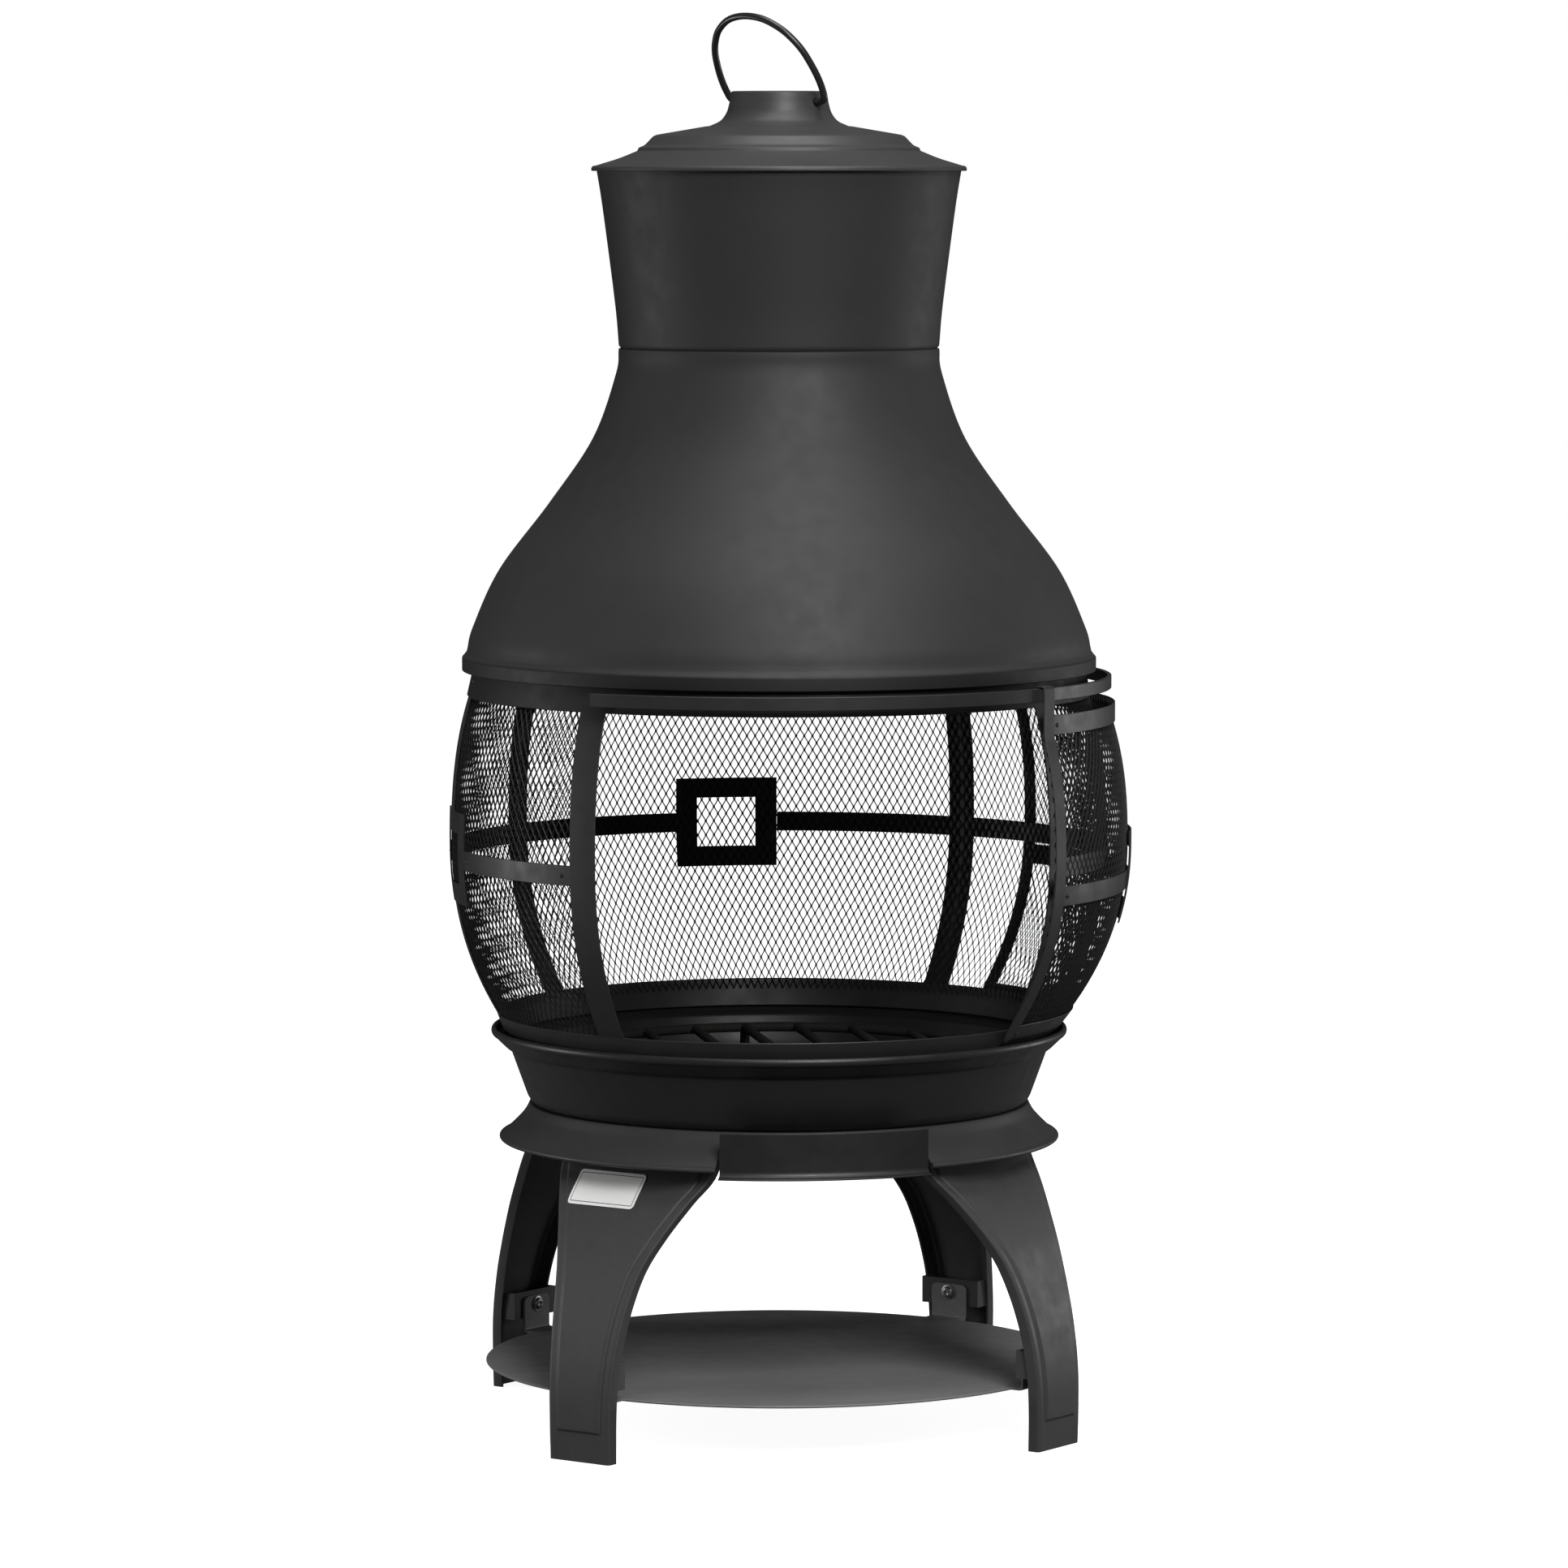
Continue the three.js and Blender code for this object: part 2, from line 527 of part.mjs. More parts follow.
// ---------- hood, chimney, lid ----------
const hoodLine = [
  [HOOD.skirt, HOOD.skirtFoot],
  [HOOD.skirt, HOOD.skirtTop],
  ...smoothLine([...HOOD_LINE, [HOOD.neck, HOOD.top]], 8),
];
addAbove("hood", turned(sheetLoop(hoodLine, SHEET)), hoodPaint);

const chimneyLine = [
  [CHIMNEY_TUCK.radius, CHIMNEY_TUCK.foot],
  [CHIMNEY_TUCK.radius, CHIMNEY_LINE[0][1] - 1.6],
  ...CHIMNEY_LINE,
];
addAbove("chimney", turned(sheetLoop(chimneyLine, SHEET)), hoodPaint);

const lidShell = turned(sheetLoop(LID_LINE, SHEET));
const bailDrill = rod(BAIL.wire / 2 + BAIL.clearance, 2 * 60, 10)
  .rotate([0, 90, 0])
  .translate([0, 0, BAIL.pivotHeight]);
const bailTurn = BAIL.angle - 90; // the pivot line is made along X
addAbove("lid", lidShell.subtract(around(bailDrill, bailTurn)), hoodPaint);

const bailPoints = [
  ...BAIL_LINE.map(([a, h]) => new THREE.Vector3(a, 0, h)),
  ...BAIL_LINE.slice(0, -1).reverse().map(([a, h]) => new THREE.Vector3(-a, 0, h)),
];
const wireSection = new THREE.Shape().absarc(0, 0, BAIL.wire / 2, 0, 2 * Math.PI);
const bail = asSolid(new THREE.ExtrudeGeometry(wireSection, {
  steps: 34,
  curveSegments: 4,
  bevelEnabled: false,
  extrudePath: new THREE.CatmullRomCurve3(bailPoints),
}));
addAbove("lid_handle", around(
  bail.rotate([BAIL.lean, 0, 0]).translate([0, 0, BAIL.pivotHeight]), bailTurn,
), drumPaint);

export default chiminea;
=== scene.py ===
# A garden chiminea in satin black sheet steel. It is put together here from the ground up: stand, fire
# bowl, drum, sliding door, hood, chimney and lid. Metres; the open front faces -Y and the axis is Z.
# Angles run round the axis in degrees, 0 at the front and 90 at the +X side.
import bmesh
import bpy
import numpy as np
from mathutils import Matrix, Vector


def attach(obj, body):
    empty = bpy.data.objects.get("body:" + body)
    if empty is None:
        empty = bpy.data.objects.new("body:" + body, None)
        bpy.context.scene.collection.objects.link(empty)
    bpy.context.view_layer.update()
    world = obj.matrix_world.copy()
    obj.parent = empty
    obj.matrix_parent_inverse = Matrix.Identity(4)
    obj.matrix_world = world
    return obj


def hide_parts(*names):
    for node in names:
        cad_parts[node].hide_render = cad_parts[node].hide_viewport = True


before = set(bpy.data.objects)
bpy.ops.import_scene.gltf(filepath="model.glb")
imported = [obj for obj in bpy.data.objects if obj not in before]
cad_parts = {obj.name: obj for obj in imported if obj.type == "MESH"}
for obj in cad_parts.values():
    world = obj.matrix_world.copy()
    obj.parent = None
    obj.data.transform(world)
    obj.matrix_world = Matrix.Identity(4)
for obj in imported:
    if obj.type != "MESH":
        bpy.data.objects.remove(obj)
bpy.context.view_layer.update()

MM = 0.001

# Legs: four channels pressed from 2 mm steel, bowed out towards the ground. The face carries a raised
# panel, whose edge runs 9 mm inside both sides and ends in round corners above the foot. Satin dark grey
# paint over brushed sheet.
leg_places = {"front_left": -45, "front_right": 45, "rear_right": 135, "rear_left": -135}


def at(angle, radius, height, across=0.0):
    """A point at an angle round the axis: out along the radius, then across at a right angle to it, then
    up."""
    a = np.radians(angle)
    x = radius * np.sin(a) + across * np.cos(a)
    y = -radius * np.cos(a) + across * np.sin(a)
    return np.stack(np.broadcast_arrays(x, y, height), axis=-1)


def smooth(points, steps=12):
    """The cubic through the points whose slope at each is half the way from the point before to the
    point after."""
    p = np.asarray(points, float)
    p = np.vstack([2 * p[0] - p[1], p, 2 * p[-1] - p[-2]])
    a, b, c, d = (p[i:len(p) - 3 + i, None] for i in range(4))
    t = np.linspace(0, 1, steps, endpoint=False)[None, :, None]
    curve = b + 0.5 * t * (c - a + t * (2 * a - 5 * b + 4 * c - d + t * (3 * (b - c) + d - a)))
    return np.vstack([curve.reshape(-1, p.shape[1]), p[-2]])


def skin(name, tubes, ring=False):
    """A mesh over tubes: each tube has stations, each station a closed loop of points. Neighbouring
    loops are joined by quads. On a ring the last loop joins the first, and an open tube is capped at
    both ends."""
    tubes = tubes[None] if tubes.ndim == 3 else tubes
    count, stations, sides, _ = tubes.shape
    index = np.arange(count * stations * sides).reshape(count, stations, sides)
    here, there = (index, np.roll(index, -1, 1)) if ring else (index[:, :-1], index[:, 1:])
    faces = np.stack([here, np.roll(here, -1, 2), np.roll(there, -1, 2), there], -1).reshape(-1, 4).tolist()
    if not ring:
        faces += index[:, 0].tolist() + index[:, -1].tolist()
    mesh = bpy.data.meshes.new(name)
    mesh.from_pydata(tubes.reshape(-1, 3).tolist(), [], faces)
    return mesh


def fit(mesh, body, slot, finish, *nodes, crease=32.0):
    """Closes the mesh, turns its faces out, creases it where two faces meet at more than the angle, and
    fits it to its body in place of the CAD nodes."""
    tidy = bmesh.new()
    tidy.from_mesh(mesh)
    bmesh.ops.remove_doubles(tidy, verts=tidy.verts, dist=2e-6)
    bmesh.ops.recalc_face_normals(tidy, faces=tidy.faces)
    tidy.to_mesh(mesh)
    tidy.free()
    mesh.shade_smooth()
    mesh.set_sharp_from_angle(angle=np.radians(crease))
    mesh.materials.clear()
    mesh.materials.append(finish)
    piece = bpy.data.objects.new(mesh.name, mesh)
    bpy.context.scene.collection.objects.link(piece)
    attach(piece, body)
    if nodes:
        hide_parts(*nodes)
    return piece


def group_of(name, inputs, outputs):
    """An empty node group with float, vector and colour sockets; returns the group, its nodes, links and
    two ends."""
    group = bpy.data.node_groups.new(name, "ShaderNodeTree")
    for label, kind, value in inputs:
        made = group.interface.new_socket(label, in_out="INPUT", socket_type="NodeSocket" + kind)
        made.default_value = value
    for label, kind in outputs:
        group.interface.new_socket(label, in_out="OUTPUT", socket_type="NodeSocket" + kind)
    start, end = group.nodes.new("NodeGroupInput"), group.nodes.new("NodeGroupOutput")
    return group, group.nodes.new, group.links.new, start, end


def make_powder_coat():
    """Paint baked on sheet steel: two shades in broad clouds, a fine orange peel in the height, and a
    sheen that wanders with a middling noise. Streak stretches one noise along X, which shows the brushed
    sheet under thin paint."""
    group, node, link, start, end = group_of("powder_coat", [
        ("Paint", "Color", (0.03, 0.03, 0.03, 1)), ("Worn", "Color", (0.05, 0.05, 0.05, 1)),
        ("Peel", "Float", 0.05), ("Streak", "Float", 0.0),
        ("Gloss Low", "Float", 0.4), ("Gloss High", "Float", 0.55),
    ], [("Color", "Color"), ("Roughness", "Float"), ("Normal", "Vector")])
    place = node("ShaderNodeTexCoord")
    clouds, peel, sheen, streak = (node("ShaderNodeTexNoise") for _ in range(4))
    for noise, scale, detail in ((clouds, 9, 4), (peel, 950, 2), (sheen, 60, 5), (streak, 1, 3)):
        noise.inputs["Scale"].default_value = scale
        noise.inputs["Detail"].default_value = detail
    stretch = node("ShaderNodeMapping")
    stretch.inputs["Scale"].default_value = (14, 520, 520)
    link(place.outputs["Object"], stretch.inputs["Vector"])
    for noise in (clouds, peel, sheen):
        link(place.outputs["Object"], noise.inputs["Vector"])
    link(stretch.outputs["Vector"], streak.inputs["Vector"])

    lines = node("ShaderNodeMapRange")
    lines.inputs["From Min"].default_value, lines.inputs["From Max"].default_value = 0.35, 0.65
    link(streak.outputs["Fac"], lines.inputs["Value"])
    amount = node("ShaderNodeMath")
    amount.operation = "MULTIPLY"
    link(lines.outputs["Result"], amount.inputs[0])
    link(start.outputs["Streak"], amount.inputs[1])
    cloudy = node("ShaderNodeMapRange")
    cloudy.inputs["From Min"].default_value, cloudy.inputs["From Max"].default_value = 0.3, 0.7
    cloudy.inputs["To Max"].default_value = 0.6
    link(clouds.outputs["Fac"], cloudy.inputs["Value"])
    worn = node("ShaderNodeMath")
    worn.operation, worn.use_clamp = "ADD", True
    link(cloudy.outputs["Result"], worn.inputs[0])
    link(amount.outputs["Value"], worn.inputs[1])
    shade = node("ShaderNodeMix")
    shade.data_type = "RGBA"
    link(worn.outputs["Value"], shade.inputs["Factor"])
    link(start.outputs["Paint"], shade.inputs["A"])
    link(start.outputs["Worn"], shade.inputs["B"])
    link(shade.outputs["Result"], end.inputs["Color"])

    gloss = node("ShaderNodeMapRange")
    gloss.inputs["From Min"].default_value, gloss.inputs["From Max"].default_value = 0.3, 0.7
    link(sheen.outputs["Fac"], gloss.inputs["Value"])
    link(start.outputs["Gloss Low"], gloss.inputs["To Min"])
    link(start.outputs["Gloss High"], gloss.inputs["To Max"])
    link(gloss.outputs["Result"], end.inputs["Roughness"])

    height = node("ShaderNodeMath")
    height.operation = "MULTIPLY_ADD"
    link(lines.outputs["Result"], height.inputs[0])
    link(start.outputs["Streak"], height.inputs[1])
    link(peel.outputs["Fac"], height.inputs[2])
    bump = node("ShaderNodeBump")
    bump.inputs["Distance"].default_value = 0.1 * MM
    link(start.outputs["Peel"], bump.inputs["Strength"])
    link(height.outputs["Value"], bump.inputs["Height"])
    link(bump.outputs["Normal"], end.inputs["Normal"])
    return group


powder_coat = make_powder_coat()


def painted(name, paint, worn, gloss, peel=0.35, streak=0.0, specular=0.4, metallic=0.0):
    """A painted finish: the powder coat group with this finish's own values, on one shader."""
    finish = bpy.data.materials.new(name)
    finish.use_nodes = True
    nodes, link = finish.node_tree.nodes, finish.node_tree.links.new
    shader = nodes["Principled BSDF"]
    shader.inputs["Specular IOR Level"].default_value = specular
    shader.inputs["Metallic"].default_value = metallic
    coat = nodes.new("ShaderNodeGroup")
    coat.node_tree = powder_coat
    values = {"Paint": (*paint, 1), "Worn": (*worn, 1), "Peel": peel, "Streak": streak,
              "Gloss Low": gloss[0], "Gloss High": gloss[1]}
    for label, value in values.items():
        coat.inputs[label].default_value = value
    for out, into in (("Color", "Base Color"), ("Roughness", "Roughness"), ("Normal", "Normal")):
        link(coat.outputs[out], shader.inputs[into])
    return finish


leg_paint = painted("leg_paint", (0.042, 0.042, 0.044), (0.055, 0.055, 0.057), (0.42, 0.56), streak=0.35)

LEG_TOP = 254.8
leg_line = smooth([(0, 271), (30, 271.5), (60, 270.5), (90, 266), (120, 258), (150, 246.5), (175, 232),
                   (200, 214.5), (222, 197), (LEG_TOP, 184)])
leg_edge = smooth([(0, 29), (40, 29.6), (75, 31), (100, 33), (125, 36), (150, 41), (175, 50.5),
                   (200, 62.5), (222, 73), (LEG_TOP, 74)])
PANEL_RISE, PANEL_FOOT, PANEL_CORNER = 1.5, 15.0, 9.0


def leg_loops(heights, sheet=2.0, fold=10.0, bend=2.5):
    """One loop round the channel at each height: up the left fold, round the bend, over the face with
    its panel, round and down the right fold, then back inside by the sheet. The panel's rise follows the
    distance to the nearest edge."""
    z = heights[:, None]
    face = np.interp(z, leg_line[:, 0], leg_line[:, 1])
    half = np.interp(z, leg_edge[:, 0], leg_edge[:, 1])
    near = np.arange(0, 15, 1.0)
    from_edge = np.concatenate([near, [20, 26]])
    left = -(half - bend) + from_edge[None] * np.minimum(1, (half - bend) / 27)
    across = np.concatenate([left, -left[:, ::-1]], 1)
    to_side, to_foot = half - np.abs(across), z - PANEL_FOOT
    nearest = np.minimum(to_side, to_foot)
    short = np.maximum(PANEL_CORNER - to_side, 0) ** 2 + np.maximum(PANEL_CORNER - to_foot, 0) ** 2
    inside = np.where(short > 0, PANEL_CORNER - np.sqrt(short), nearest) - 0.4 * PANEL_CORNER
    inside = np.minimum(inside, nearest - 0.4 * PANEL_CORNER)
    t = np.clip((inside - 4.4) / 2.2, 0, 1)
    rise = PANEL_RISE * t * t * (3 - 2 * t)
    turn = np.radians(np.linspace(0, 90, 5))[None]

    def side(sign, inset):
        """One fold and its bend, moved in by the inset."""
        x = sign * (half - inset - (bend - inset) + (bend - inset) * np.cos(turn))
        r = face - inset - (bend - inset) + (bend - inset) * np.sin(turn)
        tip = (sign * (half - inset) + 0 * turn[:, :1], face - fold + 0 * turn[:, :1])
        return np.concatenate([tip[0], x], 1), np.concatenate([tip[1], r], 1)

    left_x, left_r = side(-1, 0)
    right_x, right_r = side(1, 0)
    in_left_x, in_left_r = side(-1, sheet)
    in_right_x, in_right_r = side(1, sheet)
    x = np.concatenate([left_x, across[:, 1:-1], right_x[:, ::-1],
                        in_right_x, across[:, -2:0:-1], in_left_x[:, ::-1]], 1)
    r = np.concatenate([left_r, face + rise[:, 1:-1], right_r[:, ::-1],
                        in_right_r, face - sheet + rise[:, -2:0:-1], in_left_r[:, ::-1]], 1)
    return x, r, np.broadcast_to(z, x.shape)


leg_heights = np.concatenate([[0, 4, 8, 12], np.arange(14, 34, 1.0), np.arange(34, 250, 3.0), [LEG_TOP]])
leg_x, leg_r, leg_z = leg_loops(leg_heights)
for place, angle in leg_places.items():
    fit(skin("leg_" + place + "_pressed", at(angle, leg_r * MM, leg_z * MM, leg_x * MM)),
        "stand", "leg_paint", leg_paint, "leg_" + place)
    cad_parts["shelf_strap_" + place].material_slots[0].material = leg_paint

# Shelf: a 475 mm disc of 2 mm sheet, with four tabs bent up to the leg straps. Each tab is 34 mm wide
# with round top corners, and the sheet shows long streaks from the rolling mill through its thin satin
# paint. That paint is a light grey, far lighter than the legs': painted light on the shelf's upturned face.
shelf_lit_paint = painted("shelf_lit_paint", (0.16, 0.16, 0.164), (0.215, 0.215, 0.22), (0.40, 0.52), streak=0.5)


def rounded(points, radii, steps=5):
    """A line with its corners rounded: each corner gives way to the quadratic curve that leaves one side
    and joins the next at the corner's radius from it."""
    p = np.asarray(points, float)
    line = [p[:1]]
    t = np.linspace(0, 1, steps)[:, None]
    for before, corner, after, radius in zip(p[:-2], p[1:-1], p[2:], radii):
        if not radius:
            line.append(corner[None])
            continue
        back, on = before - corner, after - corner
        start = corner + back * min(radius / np.linalg.norm(back), 0.49)
        stop = corner + on * min(radius / np.linalg.norm(on), 0.49)
        line.append((1 - t) ** 2 * start + 2 * t * (1 - t) * corner + t ** 2 * stop)
    return np.vstack(line + [p[-1:]])


def turned(name, loop, segments=288):
    """A closed loop of (radius, height) in millimetres carried round the axis."""
    angles = np.linspace(0, 360, segments, endpoint=False)[:, None]
    loop = np.asarray(loop, float)[None]
    return skin(name, at(angles, loop[..., 0] * MM, loop[..., 1] * MM), ring=True)


def strap_loops(out, across, centre, width, thick=1.2, edge=0.35):
    """Loops round a flat strap along a path: its outer face is on the path, its edges are chamfered, and
    the inner face lies the thickness behind. out and across are unit vectors at each station."""
    half = np.asarray(width, float) / 2 * np.ones(len(centre))
    u = np.array([-1, 1, 1, 1, 1, -1, -1, -1.0])
    trim = np.array([edge, edge, 0, 0, edge, edge, 0, 0])
    depth = np.array([0, 0, edge, thick - edge, thick, thick, thick - edge, edge])
    sideways = u[None] * (half[:, None] - trim[None])
    return centre[:, None] + across[:, None] * sideways[..., None] - out[:, None] * depth[None, :, None]


def join(name, meshes):
    """One mesh that holds several closed meshes."""
    whole = bmesh.new()
    for part in meshes:
        whole.from_mesh(part)
    mesh = bpy.data.meshes.new(name)
    whole.to_mesh(mesh)
    whole.free()
    return mesh


SHELF_TOP, SHELF_FOOT, SHELF_RADIUS, SHELF_EDGE = 47.0, 45.0, 237.5, 0.7
TAB_FACE, TAB_TOP, TAB_WIDTH, TAB_CORNER = 248.0, 75.0, 34.0, 5.0
shelf_disc = turned("shelf_disc", [
    (0, SHELF_FOOT), (SHELF_RADIUS - SHELF_EDGE, SHELF_FOOT), (SHELF_RADIUS, SHELF_FOOT + SHELF_EDGE),
    (SHELF_RADIUS, SHELF_TOP - SHELF_EDGE), (SHELF_RADIUS - SHELF_EDGE, SHELF_TOP), (0, SHELF_TOP)])
tab_line = rounded([(SHELF_RADIUS - 9, SHELF_FOOT), (TAB_FACE, SHELF_FOOT), (TAB_FACE, TAB_TOP)], [4])
tab_tip = np.linspace(TAB_TOP - TAB_CORNER, TAB_TOP, 7)
tab_line = np.vstack([tab_line[:-1], np.stack([np.full(7, TAB_FACE), tab_tip], 1)])
tab_step = np.gradient(tab_line, axis=0)
tab_step /= np.linalg.norm(tab_step, axis=1)[:, None]
into_tip = np.clip(tab_line[:, 1] - TAB_TOP + TAB_CORNER, 0, TAB_CORNER)
tab_width = TAB_WIDTH - 2 * (TAB_CORNER - np.sqrt(TAB_CORNER ** 2 - into_tip ** 2))
shelf_parts = [shelf_disc]
for place, angle in leg_places.items():
    path = at(angle, tab_line[:, 0] * MM, tab_line[:, 1] * MM)
    out = at(angle, tab_step[:, 1], -tab_step[:, 0])
    sideways = at(angle, 0 * tab_width, 0 * tab_width, 1.0)
    loops = strap_loops(out, sideways, path, tab_width * MM, 2 * MM, 0.4 * MM)
    shelf_parts.append(skin("tab_" + place, loops))
fit(join("shelf_sheet", shelf_parts), "stand", "leg_paint", shelf_lit_paint, "shelf")

# Shelf screws: M5 pan heads with a collar and a cross recess, zinc plated, their heads on the inner side
# of the tabs. The recess is a dimple pressed along a cross; the shank runs through the tab and the strap.
def make_zinc():
    """Dull zinc: plain metal whose roughness and shade follow a fine spangle."""
    finish = bpy.data.materials.new("zinc")
    finish.use_nodes = True
    nodes, link = finish.node_tree.nodes, finish.node_tree.links.new
    shader = nodes["Principled BSDF"]
    shader.inputs["Metallic"].default_value = 1.0
    place, spangle = nodes.new("ShaderNodeTexCoord"), nodes.new("ShaderNodeTexVoronoi")
    spangle.inputs["Scale"].default_value = 700
    link(place.outputs["Object"], spangle.inputs["Vector"])
    shade = nodes.new("ShaderNodeMix")
    shade.data_type = "RGBA"
    shade.inputs["A"].default_value = (0.30, 0.30, 0.31, 1)
    shade.inputs["B"].default_value = (0.46, 0.46, 0.47, 1)
    dull = nodes.new("ShaderNodeMapRange")
    dull.inputs["To Min"].default_value, dull.inputs["To Max"].default_value = 0.28, 0.45
    link(spangle.outputs["Distance"], shade.inputs["Factor"])
    link(spangle.outputs["Distance"], dull.inputs["Value"])
    link(shade.outputs["Result"], shader.inputs["Base Color"])
    link(dull.outputs["Result"], shader.inputs["Roughness"])
    return finish


zinc = make_zinc()
SCREW_HEIGHT, SCREW_SEAT = 68.0, 245.7
head = rounded([(0, -7.0), (2.4, -7.0), (2.4, -0.05), (6.2, -0.05), (6.2, 0.7), (4.8, 0.8), (4.7, 2.0),
                (3.2, 3.1), (0, 3.3)], [0.3, 0, 0.2, 0.2, 0.2, 0.5, 0.8])


def screw(name, angle):
    """The head's profile turned about a radius of the chiminea, with a dimple pressed in along a
    cross."""
    turns = np.linspace(0, 360, 32, endpoint=False)[:, None]
    radius, rise = head[None, :, 0], head[None, :, 1]
    sideways, up = radius * np.cos(np.radians(turns)), radius * np.sin(np.radians(turns))
    arm = np.minimum(np.abs(sideways), np.abs(up))
    dent = 1.3 * np.clip(1.0 - arm / 0.7, 0, 1) * np.clip((3.0 - radius) / 0.6, 0, 1) * (rise > 2)
    out = SCREW_SEAT - (rise - dent)
    return skin(name, at(angle, out * MM, (SCREW_HEIGHT + up) * MM, sideways * MM), ring=True)


for place, angle in leg_places.items():
    fit(screw("shelf_screw_" + place + "_pan", angle), "stand", "zinc", zinc, "shelf_screw_" + place)
    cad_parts["bowl_bolt_" + place].material_slots[0].material = zinc

# Label: a blank film, off-white with round corners, stuck on the front left leg's face under the stand
# ring. A thin grey border is printed on it, and the film follows the leg's bow.
LABEL = {"height": 207.0, "side": -17.0, "width": 64.0, "tall": 25.0, "corner": 3.0}


def make_film():
    """Off-white print: a grey border where the distance to the label's edge is near 2 mm, on a faintly
    mottled film."""
    finish = bpy.data.materials.new("label_film")
    finish.use_nodes = True
    nodes, link = finish.node_tree.nodes, finish.node_tree.links.new
    shader = nodes["Principled BSDF"]
    shader.inputs["Roughness"].default_value = 0.35
    edge = nodes.new("ShaderNodeAttribute")
    edge.attribute_name = "from_edge"
    line = nodes.new("ShaderNodeMath")
    line.operation = "COMPARE"
    line.inputs[1].default_value, line.inputs[2].default_value = 2.2, 0.3
    link(edge.outputs["Fac"], line.inputs[0])
    place, mottle = nodes.new("ShaderNodeTexCoord"), nodes.new("ShaderNodeTexNoise")
    mottle.inputs["Scale"].default_value = 90
    link(place.outputs["Object"], mottle.inputs["Vector"])
    film, printed = nodes.new("ShaderNodeMix"), nodes.new("ShaderNodeMix")
    film.data_type = printed.data_type = "RGBA"
    film.inputs["A"].default_value = (0.93, 0.925, 0.91, 1)
    film.inputs["B"].default_value = (0.97, 0.965, 0.95, 1)
    printed.inputs["B"].default_value = (0.18, 0.18, 0.18, 1)
    link(mottle.outputs["Fac"], film.inputs["Factor"])
    link(film.outputs["Result"], printed.inputs["A"])
    link(line.outputs["Value"], printed.inputs["Factor"])
    link(printed.outputs["Result"], shader.inputs["Base Color"])
    return finish


def cells_of(sheet):
    """The four corners of each cell in a grid of vertex numbers."""
    return np.stack([sheet[:-1, :-1], sheet[:-1, 1:], sheet[1:, 1:], sheet[1:, :-1]], -1)


def label_mesh():
    """The film over the leg's face: a grid of width and height pulled in at the corners, with its back
    0.6 mm behind."""
    across, up = np.meshgrid(np.linspace(-1, 1, 81), np.linspace(-1, 1, 41))
    x, z = across * LABEL["width"] / 2, up * LABEL["tall"] / 2
    corner, half_wide, half_tall = LABEL["corner"], LABEL["width"] / 2, LABEL["tall"] / 2
    over_x, over_z = np.abs(x) - half_wide + corner, np.abs(z) - half_tall + corner
    past = np.hypot(np.maximum(over_x, 0), np.maximum(over_z, 0))
    pull = np.where((over_x > 0) & (over_z > 0) & (past > corner), corner / np.maximum(past, 1e-6), 1.0)
    x = np.where(pull < 1, np.sign(x) * (half_wide - corner + over_x * pull), x)
    z = np.where(pull < 1, np.sign(z) * (half_tall - corner + over_z * pull), z)
    edge = np.where((over_x > 0) & (over_z > 0), corner - past * pull,
                    np.minimum(half_wide - np.abs(x), half_tall - np.abs(z)))
    height = z + LABEL["height"]
    face = np.interp(height, leg_line[:, 0], leg_line[:, 1]) + PANEL_RISE
    front = at(-45, (face + 0.9) * MM, height * MM, (x + LABEL["side"]) * MM)
    back = at(-45, (face + 0.3) * MM, height * MM, (x + LABEL["side"]) * MM)
    points = np.stack([front, back])
    index = np.arange(points[..., 0].size).reshape(points.shape[:3])
    faces = []
    for sheet in index:
        faces += cells_of(sheet).reshape(-1, 4).tolist()
    rim = [np.concatenate([s[0, :-1], s[:-1, -1], s[-1, :0:-1], s[:0:-1, 0]]) for s in index]
    faces += np.stack([rim[0], rim[1], np.roll(rim[1], -1), np.roll(rim[0], -1)], -1).tolist()
    mesh = bpy.data.meshes.new("label")
    mesh.from_pydata(points.reshape(-1, 3).tolist(), [], faces)
    distance = mesh.attributes.new("from_edge", "FLOAT", "POINT")
    distance.data.foreach_set("value", np.tile(edge.ravel(), 2).astype(np.float32))
    return mesh


fit(label_mesh(), "stand", "label_film", make_film(), "label_plate")

# Stand ring: the flared skirt of 1.5 mm sheet that the legs hang from, with a beaded rim. It is cut away
# at the front for the ash drawer. Matt black heat paint.
bowl_paint = painted("bowl_paint", (0.011, 0.011, 0.0115), (0.018, 0.018, 0.019),
                     (0.36, 0.48), peel=0.3, specular=0.45)
ring_paint = painted("ring_paint", (0.034, 0.034, 0.035), (0.045, 0.045, 0.046),
                     (0.42, 0.54), peel=0.3, specular=0.4)


def walled(line, wall):
    """A closed loop round a sheet: the outer line from its foot up, and back down the line moved in by
    the wall, with a half round at each end."""
    line = np.asarray(line, float)
    step = np.gradient(line, axis=0)
    step /= np.linalg.norm(step, axis=1)[:, None]
    inward = np.stack([-step[:, 1], step[:, 0]], 1)
    top = line[-1] + inward[-1] * wall / 2 + step[-1] * wall * 0.4
    foot = line[0] + inward[0] * wall / 2 - step[0] * wall * 0.4
    return np.vstack([line, top, (line + inward * wall)[::-1], foot])


